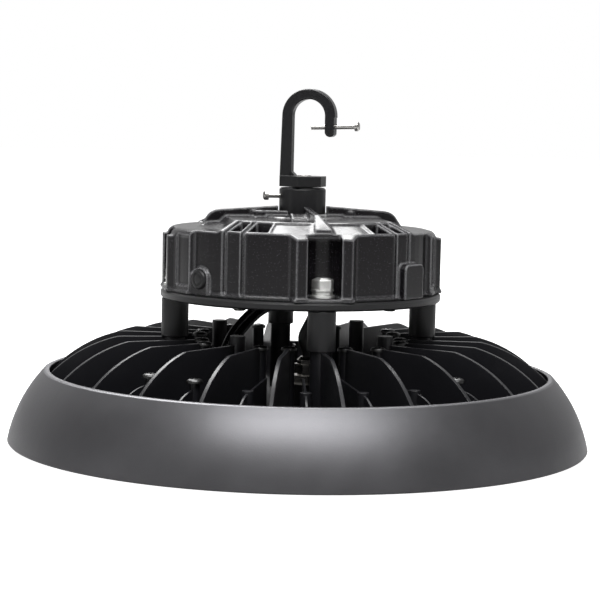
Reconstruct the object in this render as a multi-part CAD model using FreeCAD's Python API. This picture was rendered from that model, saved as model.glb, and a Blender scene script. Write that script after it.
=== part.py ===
"""High bay light: a round LED lamp with a finned casting, a driver box on posts and a hook.

The lamp stands on its ring's lower edge.  The origin is on the lamp's axis at that edge, +Z up,
and the four posts stand on the X and Y axes.  All lengths are millimetres, angles are degrees.
"""
import math
import os

import FreeCAD
import Part

V = FreeCAD.Vector
AXIS_Z = V(0, 0, 1)
ORIGIN = V(0, 0, 0)

# ---------------------------------------------------------------- driving dimensions
FIT = 0.05                      # radial clearance of a screw in its tapped or tight hole
QUARTERS = (0, 90, 180, 270)    # the four post directions

# outer ring
RING_FOOT_R = 165.0             # outer radius of the edge that the lamp stands on
RING_HEIGHT = 40.0
RING_CURVE_R = 80.0             # radius of the ring's bulged outer profile
RING_RIM_R = 144.5              # outer radius at the top edge
RING_WALL = 2.5
RING_FLANGE_INNER_R = 124.0     # inward flange that is clamped under the heat sink
RING_EDGE = 0.7                 # broken edge of the rim and of the foot

# heat sink
FLOOR_Z = 15.0                  # underside of the heat sink's floor
FLOOR_T = 6.0
SINK_GAP = 0.5                  # between the floor's edge and the ring's wall
FIN_GAP = 1.2                   # between the fins and the ring's wall
ROOT_DEPTH = 1.0                # fins and columns start this far inside the floor
FIN_COUNT = 24
FIN_T = 2.0
FIN_TOP_Z = 59.4
FIN_FLAT_R = 100.0              # the fins' top edge is level as far as this radius
FIN_CURVE_R = 59.0              # then bends down with this radius
LOW_FIN_T = 1.2
LOW_FIN_START_R = 77.0
LOW_FIN_START_Z = 45.3
LOW_FIN_BEND_R = 116.0
LOW_FIN_BEND_Z = 42.0
LOW_FIN_CURVE_R = 30.5
LOW_FIN_END_LEAN = 55.0         # the bend ends where its radius leans this far outwards
LOW_FIN_CUT_Z = 41.0            # top of the low fins that start at a tall boss

PAD_R = 114.7                   # radius at which pads and tall bosses stand on the low fins
PAD_OFFSETS = (7.5, 22.5, 67.5, 82.5)       # angles from a post
PAD_DIA = 6.0
PAD_TOP_Z = 43.4
BOSS_OFFSETS = (37.5, 52.5)
BOSS_DIA = 5.4
BOSS_TOP_Z = 45.3

COLUMN_DIA = 6.5
COLUMN_TOP_Z = 58.0
COLUMN_PLACES = ((15, 60.0), (30, 67.5), (60, 60.0), (75, 57.5))   # angle from a post, radius
TALL_COLUMN_DIA = 8.7
TALL_COLUMN_R = 58.0
TALL_COLUMN_TOP_Z = 64.3
POST_BOSS_DIA = 12.0
HUB_BOSS_DIA = 24.0             # raised seat of the centre gland
HUB_BOSS_TOP_Z = 33.0
CENTRE_GLAND_H = 15.0
CENTRE_GLAND_X = 4.9            # the gland stands a little off the axis
CENTRE_GLAND_Y = -0.8
GLAND_BORE_R = 4.0

# posts and driver base plate
POST_R = 71.5                   # posts' distance from the axis
POST_DIA = 15.3
POST_STUD_LENGTH = 12.0
PLATE_Z = 81.5                  # underside of the base plate
PLATE_T = 4.5
PLATE_R = 79.5
PLATE_EDGE = 0.9

# bolts, M6
BOLT_DIA = 6.0
BOLT_HEAD_AF = 10.0
BOLT_HEAD_H = 5.7
BOLT_LENGTH = 25.0
BOLT_HOLE_DIA = 6.6
BOLT_TURN = 20.0                # angle of a head's corner from its radius
BOLT_CROWN_H = 2.0              # height over which the head's corners are rounded off
BOLT_CROWN_R = (8.2, 4.8)       # radii of the rounding cone, below and above
FLAT_WASHER_DIA = 13.0
FLAT_WASHER_T = 1.8
SPRING_WASHER_DIA = 10.6
SPRING_WASHER_T = 2.2
SPRING_WASHER_GAP = 1.2

# driver cover
COVER_WALL_R = 74.3             # half width over the flat panels, measured at their corners
COVER_LOBE_R = 76.2
COVER_LAND_R = 78.0             # outer face of the bolt blocks
COVER_LAND_HALF = 15.25
RECESS_WIDTH = 18.5
RECESS_FLOOR_Z = 88.3
COVER_RIM_Z = 121.6             # top of the walls
COVER_LOBE_TOP_Z = 124.2
COVER_LOBE_TOP_R = 58.0
PLATEAU_Z = 127.7
PLATEAU_R = 59.0
PLATEAU_HALF_X = 43.5           # the plateau is cut off beside the left and right lobes
PLATEAU_SIDE_RUN = 5.0
PLATEAU_SECTOR = 47.5           # half angle of the raised front and rear sectors
CUT_TOP_Z = 133.0               # cutting bodies reach this far up
COVER_CAVITY_R = 55.0
COVER_ROOF_T = 3.5
PANEL_START = 14.0              # angles from the front and rear posts
PANEL_END = 33.0
GROOVES = ((34.7, 2.4), (44.4, 3.0))        # angle from the front or rear post, width
GROOVE_DEPTH = 3.6
GROOVE_SHOULDER_DEPTH = 2.6
GROOVE_FLOOR_Z = 87.5
LOBE_PANEL_END = 26.0           # angle from a side post
LOBE_PANEL_Z = (90.5, 118.5)
LOBE_PANEL_DEPTH = 1.2
SHOULDER_FACES = (7.0, 23.0)    # shallow recess in the shoulder
SHOULDER_FACE_DEPTH = 0.7
SHOULDER_POCKETS = ((24.0, 33.2), (36.2, 42.6))
SHOULDER_POCKET_FLOOR_Z = 119.0
SHOULDER_INNER_R = 60.5
SHOULDER_OUTER_R = 71.8

WEB_T = 3.0
WEB_COLLAR_Z = 134.1
WEB_END_Z = 131.5
WEB_LEVEL_R = 49.0              # the web's top edge bends down beyond this radius
WEB_END_R = 60.5
WEB_FOOT_Z = 122.4
WEB_RAMP_HALF = 4.2             # half width of the web's flared outer foot
WEB_INNER_R = 13.9
HUB_DISC_R = 27.5
HUB_DISC_Z = 129.6
HUB_DISC_FLANK = 3.5
HUB_PAD_R = 28.0
HUB_PAD_DIA = 5.0
HUB_PAD_Z = 131.0

PLUG_ANGLE = 210.5              # blanking plug and its arched pad on the left lobe
PLUG_Z = 96.3
PLUG_DIA = 12.0
PLUG_HOLE_DIA = 9.0
PLUG_PAD_HALF = 9.2
PLUG_PAD_R = 77.6
ENTRY_ANGLE = 316.6             # round-shouldered block beside the right lobe
ENTRY_HALF = 9.8
ENTRY_TOP_Z = 105.5
ENTRY_R = 77.6
ENTRY_CORNER_R = 4.0

COVER_SCREW_R = 64.5
COVER_SCREW_ANGLES = (50, 130, 230, 310)
GASKET_R = (56.2, 59.2)
GASKET_T = 1.6

MODULE_R = 50.0                 # potted driver inside the cover
MODULE_HEIGHT = 30.0
MODULE_SCREW_R = 42.0
MODULE_SCREW_ANGLES = (45, 135, 225, 315)

# collar, hook and their screws
COLLAR_DIA = 26.3
COLLAR_Z = 129.6
COLLAR_TOP_Z = 144.3
COLLAR_CHAMFER = 0.9
COLLAR_SPIGOT_DIA = 20.0
HOOK_GROOVE = 0.7               # shadow gap between collar and hexagon
HOOK_TURN = -22.3               # direction in which the hook's tip points
HOOK_STUD_DIA = 12.0
HOOK_STUD_LENGTH = 20.0
HOOK_HEX_AF = 24.0
HOOK_HEX_TOP_Z = 150.9
HOOK_DEPTH = 8.2
HOOK_ARC_U = 3.3                # centre of the hook's bend
HOOK_ARC_Z = 184.8
HOOK_OUTER_R = 15.3
HOOK_INNER_R = 9.4
HOOK_SHANK_FOOT = (-12.9, -6.2)
HOOK_TIP_Z = 173.2
HOOK_STEP_Z = 184.0
HOOK_STEP = 0.5
HOOK_EDGE_R = 1.0
STEM_END_DIA = 8.0
STEM_END_U = 1.0
STEM_END_PROUD = 0.5
GATE_Z = 178.9
GATE_TILT = 2.0
GATE_DIA = 2.9
GATE_INNER_U = 4.4
GATE_OUTER_U = 32.0
GATE_HEAD_DIA = 5.4
GATE_HEAD_H = 2.5
SET_SCREW_Z = 139.6
SET_SCREW_DIA = 2.75
SET_SCREW_HEAD_DIA = 5.3
SET_SCREW_HEAD_H = 2.8
SET_SCREW_REACH = 22.4          # outer face of its head, from the axis
SET_SCREW_DEPTH = 6.5           # how far its tip is from the axis

# pan-head screws
FRAME_SCREW = dict(dia=4.0, head_dia=9.0, head_h=2.4)
COLUMN_SCREW = dict(dia=3.5, head_dia=8.5, head_h=2.4)
COLUMN_SCREW_LENGTH = 16.0
COVER_SCREW = dict(dia=4.0, head_dia=7.6, head_h=2.4)
COVER_SCREW_LENGTH = 14.0
MODULE_SCREW = dict(dia=3.0, head_dia=5.6, head_h=2.0)
MODULE_SCREW_LENGTH = 10.0

# light engine under the floor
BOARD_R = 96.0
BOARD_T = 1.6
CHIP_SIZE = 3.0
CHIP_T = 0.7
CHIP_RINGS = ((20.0, 8), (36.0, 14), (52.0, 20), (68.0, 26), (84.0, 32))   # radius, count
WIRE_HOLE_R = 5.0
FRAME_OUTER_R = 134.0
FRAME_BODY_R = (106.0, 123.5)
FRAME_LIP_R = 99.0
FRAME_Z = 6.0
FRAME_LIP_T = 2.5
FRAME_FLANGE_T = 3.0
LENS_T = 3.0
LENS_GAP = 0.5

# glands and leads
LEAD_DIA = 6.0
BEND_SHARE = 0.45               # share of a run that a bend takes up
END_SHARE = 0.70                # and of the first and the last run, which have one bend
TOP_GLAND_AF = 12.0
TOP_GLAND_NUT_H = 3.0
LEFT_LEAD_TOP = (1.6, 40.3)     # where each lead leaves the base plate
FRONT_LEAD_TOP = (8.5, -1.4)
LEFT_LEAD_FOOT = (-45.7, 5.5)   # and where the left one enters the hub's floor
GROMMET_H = 4.0
GROMMET_DIA = 11.0
MAINS_GLAND_ANGLE = 30.0        # on the rear side of the right lobe
MAINS_GLAND_Z = 104.0
MAINS_GLAND_DIA = 17.0
MAINS_GLAND_BORE = 12.0
MAINS_PAD_HALF = 10.5
MAINS_PAD_R = 77.6

# derived levels
FLOOR_TOP_Z = FLOOR_Z + FLOOR_T
FIN_ROOT_Z = FLOOR_TOP_Z - ROOT_DEPTH
PLATE_TOP_Z = PLATE_Z + PLATE_T
FLANGE_Z = FLOOR_Z - RING_WALL
BOLT_HEAD_Z = RECESS_FLOOR_Z + FLAT_WASHER_T + SPRING_WASHER_T
HEX_Z = COLLAR_TOP_Z + HOOK_GROOVE


# ---------------------------------------------------------------- helpers
def polar(radius, angle, z=0.0):
    """Point at a radius and an angle about the lamp's axis."""
    turn = math.radians(angle)
    return V(radius * math.cos(turn), radius * math.sin(turn), z)


def cylinder(dia, z_low, z_high, x=0.0, y=0.0):
    """Upright cylinder between two levels."""
    return Part.makeCylinder(dia / 2, z_high - z_low, V(x, y, z_low), AXIS_Z)


def polar_cylinder(dia, z_low, z_high, radius, angle):
    """Upright cylinder at a radius and an angle."""
    place = polar(radius, angle)
    return cylinder(dia, z_low, z_high, place.x, place.y)


def wire(*edges):
    """Closed wire of edges given in any order."""
    return Part.Wire(Part.__sortEdges__(list(edges)))


def line(a, b):
    """Straight edge between two points."""
    return Part.LineSegment(a, b).toShape()


def arc(a, middle, b):
    """Arc through three points."""
    return Part.Arc(a, middle, b).toShape()


def outline(points):
    """Edges of a closed polygon; points are vectors."""
    return Part.makePolygon(list(points) + [points[0]])


def revolve(points):
    """Solid of revolution about the lamp's axis of a polygon of (radius, z) points."""
    face = Part.Face(outline([V(r, 0, z) for r, z in points]))
    return face.revolve(ORIGIN, AXIS_Z, 360)


def revolve_edges(*edges):
    """Solid of revolution about the lamp's axis of edges in the XZ plane."""
    return Part.Face(wire(*edges)).revolve(ORIGIN, AXIS_Z, 360)


def radial_plate(edges, thickness, angle):
    """Plate of a closed profile in the XZ plane, turned to stand on a radius."""
    face = Part.Face(wire(*edges))
    face.translate(V(0, -thickness / 2, 0))
    plate = face.extrude(V(0, thickness, 0))
    plate.rotate(ORIGIN, AXIS_Z, angle)
    return plate


def radial_prism(points, thickness, angle):
    """Plate of a polygon of (radius, z) points, turned to stand on a radius."""
    corners = [V(r, 0, z) for r, z in points]
    edges = [line(a, b) for a, b in zip(corners, corners[1:] + corners[:1])]
    return radial_plate(edges, thickness, angle)


def sector(radius, start, end, z_low, z_high):
    """Wedge of a cylinder between two angles."""
    wedge = Part.makeCylinder(radius, z_high - z_low, V(0, 0, z_low), AXIS_Z, end - start)
    wedge.rotate(ORIGIN, AXIS_Z, start)
    return wedge


def hexagon(across_flats, z_low, z_high, corner_angle=0.0, x=0.0, y=0.0):
    """Upright hexagonal prism; one corner points at corner_angle."""
    radius = across_flats / 2 / math.cos(math.radians(30))
    corners = [polar(radius, corner_angle + 60 * i, z_low) + V(x, y, 0) for i in range(6)]
    return Part.Face(outline(corners)).extrude(V(0, 0, z_high - z_low))


def fuse(shapes):
    """One solid from several that touch or overlap."""
    first = shapes[0]
    joined = first.multiFuse(list(shapes[1:])) if len(shapes) > 1 else first
    return joined.removeSplitter()


def turned(shape, angle):
    """Copy of a shape turned about the lamp's axis."""
    copy = shape.copy()
    copy.rotate(ORIGIN, AXIS_Z, angle)
    return copy


def pan_screw(seat, length, dia, head_dia, head_h, down=True):
    """Pan-head screw with its head's seat at a point; the shank runs down, or up."""
    shank_low = -length if down else 0.0
    shank = Part.makeCylinder(dia / 2, length, seat + V(0, 0, shank_low), AXIS_Z)
    rim_h = 0.55 * head_h
    crown_r = 0.36 * head_dia
    way = V(0, 0, 1.0 if down else -1.0)
    head = Part.makeCylinder(head_dia / 2, rim_h, seat, way)
    crown = Part.makeCone(head_dia / 2, crown_r, head_h - rim_h, seat + way * rim_h, way)
    slot_w = 0.12 * head_dia
    slot = Part.makeBox(head_dia, slot_w, head_h, seat + V(-head_dia / 2, -slot_w / 2, 0))
    slot.translate(way * (0.6 * head_h) - V(0, 0, 0 if down else head_h))
    return head.fuse([crown, shank]).removeSplitter().cut(slot)


def circle_crossing(c1, r1, c2, r2):
    """Upper crossing of two circles, centres as (radius, z) pairs."""
    dx, dz = c2[0] - c1[0], c2[1] - c1[1]
    gap = math.hypot(dx, dz)
    along = (r1 ** 2 - r2 ** 2 + gap ** 2) / (2 * gap)
    side = math.sqrt(r1 ** 2 - along ** 2)
    base = (c1[0] + along * dx / gap, c1[1] + along * dz / gap)
    crossings = [(base[0] - side * dz / gap, base[1] + side * dx / gap),
                 (base[0] + side * dz / gap, base[1] - side * dx / gap)]
    return max(crossings, key=lambda p: p[1])


# ---------------------------------------------------------------- ring profile
def ring_centre():
    """Centre of the ring's bulged profile, from its foot, its rim and its radius."""
    foot, rim = (RING_FOOT_R, 0.0), (RING_RIM_R, RING_HEIGHT)
    dx, dz = rim[0] - foot[0], rim[1] - foot[1]
    chord = math.hypot(dx, dz)
    reach = math.sqrt(RING_CURVE_R ** 2 - (chord / 2) ** 2)
    return ((foot[0] + rim[0]) / 2 - reach * dz / chord,
            (foot[1] + rim[1]) / 2 + reach * dx / chord)


RING_C = ring_centre()


def ring_radius(z, inset=0.0):
    """Radius of the ring's outer surface, or of one set inwards from it, at a level."""
    return RING_C[0] + math.sqrt((RING_CURVE_R - inset) ** 2 - (z - RING_C[1]) ** 2)


def ring_arc(z_low, z_high, inset=0.0):
    """Arc of the ring's profile between two levels."""
    levels = (z_low, (z_low + z_high) / 2, z_high)
    return arc(*[V(ring_radius(z, inset), 0, z) for z in levels])


def make_rim_ring():
    """Curved ring with a flange that the heat sink and the lens frame clamp."""
    top_in = V(ring_radius(RING_HEIGHT, RING_WALL), 0, RING_HEIGHT)
    top_out = V(ring_radius(RING_HEIGHT), 0, RING_HEIGHT)
    foot_in = V(ring_radius(0, RING_WALL), 0, 0)
    foot_out = V(ring_radius(0), 0, 0)
    flange_top = V(ring_radius(FLOOR_Z, RING_WALL), 0, FLOOR_Z)
    flange_low = V(ring_radius(FLANGE_Z, RING_WALL), 0, FLANGE_Z)
    flange_in_low = V(RING_FLANGE_INNER_R, 0, FLANGE_Z)
    flange_in_top = V(RING_FLANGE_INNER_R, 0, FLOOR_Z)
    ring = revolve_edges(
        ring_arc(0, RING_HEIGHT), line(top_out, top_in),
        ring_arc(FLOOR_Z, RING_HEIGHT, RING_WALL), line(flange_top, flange_in_top),
        line(flange_in_top, flange_in_low), line(flange_in_low, flange_low),
        ring_arc(0, FLANGE_Z, RING_WALL), line(foot_in, foot_out))
    edges = [e for e in ring.Edges if e.BoundBox.ZLength < 1e-6
             and min(abs(e.BoundBox.ZMin), abs(e.BoundBox.ZMin - RING_HEIGHT)) < 1e-6]
    return ring.makeChamfer(RING_EDGE, edges)


# ---------------------------------------------------------------- heat sink
def main_fin(inner_r, angle):
    """Tall fin: level top, then an arc down to the ring, then along the ring's wall."""
    inset = RING_WALL + FIN_GAP
    curve_c = V(FIN_FLAT_R, 0, FIN_TOP_Z - FIN_CURVE_R)
    end = circle_crossing(RING_C, RING_CURVE_R - inset, (curve_c.x, curve_c.z), FIN_CURVE_R)
    tip = V(end[0], 0, end[1])
    half = math.atan2(tip.x - curve_c.x, tip.z - curve_c.z) / 2
    middle = curve_c + V(math.sin(half), 0, math.cos(half)) * FIN_CURVE_R
    foot_in = V(inner_r, 0, FIN_ROOT_Z)
    top_in = V(inner_r, 0, FIN_TOP_Z)
    bend = V(FIN_FLAT_R, 0, FIN_TOP_Z)
    foot_out = V(ring_radius(FIN_ROOT_Z, inset), 0, FIN_ROOT_Z)
    edges = [line(foot_in, top_in), line(top_in, bend), arc(bend, middle, tip),
             ring_arc(FIN_ROOT_Z, tip.z, inset), line(foot_out, foot_in)]
    return radial_plate(edges, FIN_T, angle)


def low_fin(inner_r, angle, start_z):
    """Low fin between two tall ones: slightly falling top, then an arc down its outer end."""
    fall = math.atan2(LOW_FIN_START_Z - LOW_FIN_BEND_Z, LOW_FIN_BEND_R - LOW_FIN_START_R)
    curve_c = V(LOW_FIN_BEND_R - LOW_FIN_CURVE_R * math.sin(fall), 0,
                LOW_FIN_BEND_Z - LOW_FIN_CURVE_R * math.cos(fall))
    end_lean = math.radians(LOW_FIN_END_LEAN)

    def on_curve(lean):
        return curve_c + V(math.sin(lean), 0, math.cos(lean)) * LOW_FIN_CURVE_R

    foot_in = V(inner_r, 0, FIN_ROOT_Z)
    top_in = V(inner_r, 0, start_z)
    bend = V(LOW_FIN_BEND_R, 0, LOW_FIN_BEND_Z)
    tip = on_curve(end_lean)
    foot_out = V(tip.x, 0, FIN_ROOT_Z)
    edges = [line(foot_in, top_in), line(top_in, bend),
             arc(bend, on_curve((fall + end_lean) / 2), tip),
             line(tip, foot_out), line(foot_out, foot_in)]
    return radial_plate(edges, LOW_FIN_T, angle)


def fin_start(offset):
    """Radius at which the tall fin at an angle from a post begins."""
    starts = {0: POST_R + POST_BOSS_DIA / 2 - 1.0, 45: TALL_COLUMN_R}
    starts.update({angle: radius for angle, radius in COLUMN_PLACES})
    return starts[offset]


def make_heat_sink():
    """One casting: floor, 24 tall and 24 low fins, columns, bosses and the hub's seat."""
    floor_r = ring_radius(FLOOR_TOP_Z, RING_WALL + SINK_GAP)
    floor = cylinder(2 * floor_r, FLOOR_Z, FLOOR_TOP_Z)
    pitch = 360.0 / FIN_COUNT
    solids = [floor]
    for i in range(FIN_COUNT):
        angle = i * pitch
        solids.append(main_fin(fin_start(angle % 90), angle))
        between = angle + pitch / 2
        at_boss = between % 90 in BOSS_OFFSETS
        start_r = PAD_R if at_boss else LOW_FIN_START_R
        start_z = LOW_FIN_CUT_Z if at_boss else LOW_FIN_START_Z
        solids.append(low_fin(start_r, between, start_z))
    for quarter in QUARTERS:
        solids += [polar_cylinder(PAD_DIA, FIN_ROOT_Z, PAD_TOP_Z, PAD_R, quarter + a)
                   for a in PAD_OFFSETS]
        solids += [polar_cylinder(BOSS_DIA, FIN_ROOT_Z, BOSS_TOP_Z, PAD_R, quarter + a)
                   for a in BOSS_OFFSETS]
        solids += [polar_cylinder(COLUMN_DIA, FIN_ROOT_Z, COLUMN_TOP_Z, radius, quarter + a)
                   for a, radius in COLUMN_PLACES]
        solids.append(polar_cylinder(TALL_COLUMN_DIA, FIN_ROOT_Z, TALL_COLUMN_TOP_Z,
                                     TALL_COLUMN_R, quarter + 45))
        solids.append(polar_cylinder(POST_BOSS_DIA, FIN_ROOT_Z, FIN_TOP_Z, POST_R, quarter))
    solids.append(cylinder(HUB_BOSS_DIA, FIN_ROOT_Z, HUB_BOSS_TOP_Z,
                           CENTRE_GLAND_X, CENTRE_GLAND_Y))
    sink = fuse(solids)

    holes = []
    for quarter in QUARTERS:
        holes += [polar_cylinder(FRAME_SCREW["dia"] + 2 * FIT, FLOOR_Z - 1, BOSS_TOP_Z + 1,
                                 PAD_R, quarter + a) for a in BOSS_OFFSETS]
        holes += [polar_cylinder(COLUMN_SCREW["dia"] + 2 * FIT,
                                 COLUMN_TOP_Z - COLUMN_SCREW_LENGTH - 1, FIN_TOP_Z + 1,
                                 radius, quarter + a) for a, radius in COLUMN_PLACES]
        holes += [polar_cylinder(COLUMN_SCREW["head_dia"] + 0.6, COLUMN_TOP_Z, FIN_TOP_Z + 1,
                                 radius, quarter + a) for a, radius in COLUMN_PLACES]
        holes += [polar_cylinder(FRAME_SCREW["head_dia"] + 0.6, BOSS_TOP_Z, FIN_TOP_Z,
                                 PAD_R, quarter + a) for a in BOSS_OFFSETS]
        holes.append(polar_cylinder(BOLT_DIA + 2 * FIT, FIN_TOP_Z - POST_STUD_LENGTH - 2,
                                    FIN_TOP_Z + 1, POST_R, quarter))
    holes.append(cylinder(2 * GLAND_BORE_R, FLOOR_Z - 1, HUB_BOSS_TOP_Z + 1,
                          CENTRE_GLAND_X, CENTRE_GLAND_Y))
    holes.append(cylinder(LEAD_DIA + 2, FLOOR_Z - 1, FLOOR_TOP_Z + 1, *LEFT_LEAD_FOOT))
    return sink.cut(Part.makeCompound(holes))


# ---------------------------------------------------------------- posts, plate and bolts
def make_post(angle):
    """Turned post with a stud below and a tapped hole above."""
    post = polar_cylinder(POST_DIA, FIN_TOP_Z, PLATE_Z, POST_R, angle)
    edges = [e for e in post.Edges if e.BoundBox.ZLength < 1e-6]
    post = post.makeChamfer(0.5, edges)
    stud = polar_cylinder(BOLT_DIA, FIN_TOP_Z - POST_STUD_LENGTH, FIN_TOP_Z + 1,
                          POST_R, angle)
    bore_depth = BOLT_HEAD_Z - BOLT_LENGTH - 1
    bore = polar_cylinder(BOLT_DIA + 2 * FIT, bore_depth, PLATE_Z + 1, POST_R, angle)
    return post.fuse(stud).cut(bore)


def make_base_plate():
    """Round plate that the posts carry and the cover closes."""
    plate = cylinder(2 * PLATE_R, PLATE_Z, PLATE_TOP_Z)
    rims = [e for e in plate.Edges if e.BoundBox.ZLength < 1e-6]
    plate = plate.makeChamfer(PLATE_EDGE, rims)
    holes = [polar_cylinder(BOLT_HOLE_DIA, PLATE_Z - 1, PLATE_TOP_Z + 1, POST_R, a)
             for a in QUARTERS]
    holes += [polar_cylinder(COVER_SCREW["dia"] + 0.6, PLATE_Z - 1, PLATE_TOP_Z + 1,
                             COVER_SCREW_R, a) for a in COVER_SCREW_ANGLES]
    holes += [polar_cylinder(MODULE_SCREW["dia"] + 0.4, PLATE_Z - 1, PLATE_TOP_Z + 1,
                             MODULE_SCREW_R, a) for a in MODULE_SCREW_ANGLES]
    holes += [cylinder(LEAD_DIA + 2, PLATE_Z - 1, PLATE_TOP_Z + 1, *place)
              for place in (LEFT_LEAD_TOP, FRONT_LEAD_TOP)]
    return plate.cut(Part.makeCompound(holes))


def make_post_bolts():
    """Four hexagon bolts through cover and plate into the posts."""
    bolts = []
    for angle in QUARTERS:
        centre = polar(POST_R, angle)
        crown_z = BOLT_HEAD_Z + BOLT_HEAD_H - BOLT_CROWN_H
        head = hexagon(BOLT_HEAD_AF, BOLT_HEAD_Z, BOLT_HEAD_Z + BOLT_HEAD_H,
                       angle + BOLT_TURN, centre.x, centre.y)
        cone = Part.makeCone(*BOLT_CROWN_R, BOLT_CROWN_H, V(centre.x, centre.y, crown_z),
                             AXIS_Z)
        body = cylinder(2 * BOLT_CROWN_R[0], BOLT_HEAD_Z - 1, crown_z, centre.x, centre.y)
        head = head.common(cone.fuse(body))
        shank = polar_cylinder(BOLT_DIA, BOLT_HEAD_Z - BOLT_LENGTH, BOLT_HEAD_Z, POST_R, angle)
        bolts.append(head.fuse(shank))
    return Part.makeCompound(bolts)


def washer(outer_dia, z_low, thickness, angle):
    """Ring around a bolt."""
    disc = polar_cylinder(outer_dia, z_low, z_low + thickness, POST_R, angle)
    hole = polar_cylinder(BOLT_DIA + 0.4, z_low - 1, z_low + thickness + 1, POST_R, angle)
    return disc.cut(hole)


def make_flat_washers():
    """Flat washers on the recess floors."""
    return Part.makeCompound([washer(FLAT_WASHER_DIA, RECESS_FLOOR_Z, FLAT_WASHER_T, a)
                              for a in QUARTERS])


def make_spring_washers():
    """Split washers between the flat washers and the bolt heads."""
    z_low = RECESS_FLOOR_Z + FLAT_WASHER_T
    rings = []
    for angle in QUARTERS:
        gap = Part.makeBox(SPRING_WASHER_DIA, SPRING_WASHER_GAP, SPRING_WASHER_T + 2,
                           V(0, -SPRING_WASHER_GAP / 2, z_low - 1))
        gap.rotate(ORIGIN, AXIS_Z, 35)
        gap.translate(V(POST_R, 0, 0))
        gap.rotate(ORIGIN, AXIS_Z, angle)
        rings.append(washer(SPRING_WASHER_DIA, z_low, SPRING_WASHER_T, angle).cut(gap))
    return Part.makeCompound(rings)


# ---------------------------------------------------------------- driver cover
def cover_plan():
    """Plan of the cover: bolt lands, flat front and rear panels, round side lobes."""
    corner_r = COVER_WALL_R
    edges = []

    def add(a, b):
        edges.append(line(a, b))

    def land_corner(quarter, side):
        corner = V(COVER_LAND_R, side * COVER_LAND_HALF, 0)
        return FreeCAD.Rotation(AXIS_Z, quarter).multVec(corner)

    for front in (90, 270):
        for side in (-1, 1):
            start = polar(corner_r, front + side * PANEL_START)
            end = polar(corner_r, front + side * PANEL_END)
            lobe_corner = polar(COVER_LOBE_R, front + side * GROOVES[1][0])
            add(land_corner(front, side), start)
            add(start, end)
            add(end, lobe_corner)
            lobe_post = front + side * 90
            land = land_corner(lobe_post, -side)
            lobe_start = polar(COVER_LOBE_R, lobe_post - side * PANEL_START)
            mid_angle = front + side * (GROOVES[1][0] + 90 - PANEL_START) / 2
            edges.append(arc(lobe_corner, polar(COVER_LOBE_R, mid_angle), lobe_start))
            add(lobe_start, land)
    for quarter in QUARTERS:
        add(land_corner(quarter, -1), land_corner(quarter, 1))
    return Part.Face(wire(*edges))


def raised_sectors():
    """Plateau with its sloping front and rear shoulders, cut off beside the lobes."""
    slope_end_r = COVER_LAND_R + 2
    slope = (PLATEAU_Z - COVER_RIM_Z) / (COVER_WALL_R - PLATEAU_R)
    low_z = PLATEAU_Z - slope * (slope_end_r - PLATEAU_R)
    cone = revolve([(0, PLATE_TOP_Z), (slope_end_r, PLATE_TOP_Z), (slope_end_r, low_z),
                    (PLATEAU_R, PLATEAU_Z), (0, PLATEAU_Z)])
    wedges = [sector(COVER_LAND_R + 5, f - PLATEAU_SECTOR, f + PLATEAU_SECTOR,
                     PLATE_TOP_Z, PLATEAU_Z + 1) for f in (90, 270)]
    reach = PLATEAU_R * math.cos(math.radians(PLATEAU_SECTOR))
    foot = PLATEAU_HALF_X + PLATEAU_SIDE_RUN
    middle_profile = [V(-foot, -reach, COVER_LOBE_TOP_Z - 1.0),
                      V(-PLATEAU_HALF_X, -reach, PLATEAU_Z),
                      V(PLATEAU_HALF_X, -reach, PLATEAU_Z),
                      V(foot, -reach, COVER_LOBE_TOP_Z - 1.0),
                      V(foot, -reach, PLATE_TOP_Z), V(-foot, -reach, PLATE_TOP_Z)]
    middle = Part.Face(outline(middle_profile)).extrude(V(0, 2 * reach, 0))
    return fuse([wedges[0].common(cone), wedges[1].common(cone), middle])


def web_profile():
    """Side view of one top web, edges in the XZ plane."""
    inner_foot = V(WEB_INNER_R, 0, PLATEAU_Z - 2)
    inner_top = V(WEB_INNER_R, 0, WEB_COLLAR_Z)
    level_end = V(WEB_LEVEL_R, 0, WEB_END_Z)
    bend_mid = V(WEB_LEVEL_R + 0.62 * (WEB_END_R - 4 - WEB_LEVEL_R), 0,
                 WEB_END_Z - 0.30 * (WEB_END_Z - WEB_FOOT_Z))
    foot_top = V(WEB_END_R - 2.5, 0, WEB_FOOT_Z)
    foot_low = V(WEB_END_R - 2.5, 0, COVER_RIM_Z - 3)
    inner_low = V(WEB_INNER_R, 0, COVER_RIM_Z - 3)
    return [line(inner_low, inner_foot), line(inner_foot, inner_top),
            line(inner_top, level_end), arc(level_end, bend_mid, foot_top),
            line(foot_top, foot_low), line(foot_low, inner_low)]


def web_ramp(angle):
    """Flared outer foot of a web: narrow above, wide at the recess edge."""
    top_r, end_r = WEB_LEVEL_R - 1.0, WEB_END_R + 1.4
    half_top = WEB_T / 2
    base_z = COVER_RIM_Z - 3

    def rung(radius, half, z):
        return [V(radius, -half, base_z), V(radius, half, base_z), V(radius, half, z),
                V(radius, -half, z)]

    ramp = Part.makeLoft([outline(rung(top_r, half_top, WEB_END_Z - 0.6)),
                          outline(rung(end_r, WEB_RAMP_HALF, WEB_FOOT_Z - 0.6))],
                         True, True)
    ramp.rotate(ORIGIN, AXIS_Z, angle)
    return ramp


def bolt_recess(angle):
    """Open U-shaped recess around a bolt, from its floor up through the top."""
    top = CUT_TOP_Z
    half = RECESS_WIDTH / 2
    round_back = polar_cylinder(RECESS_WIDTH, RECESS_FLOOR_Z, top, POST_R, 0)
    front = Part.makeBox(20, RECESS_WIDTH, top - RECESS_FLOOR_Z, V(POST_R, -half, RECESS_FLOOR_Z))
    return turned(fuse([round_back, front]), angle)


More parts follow.
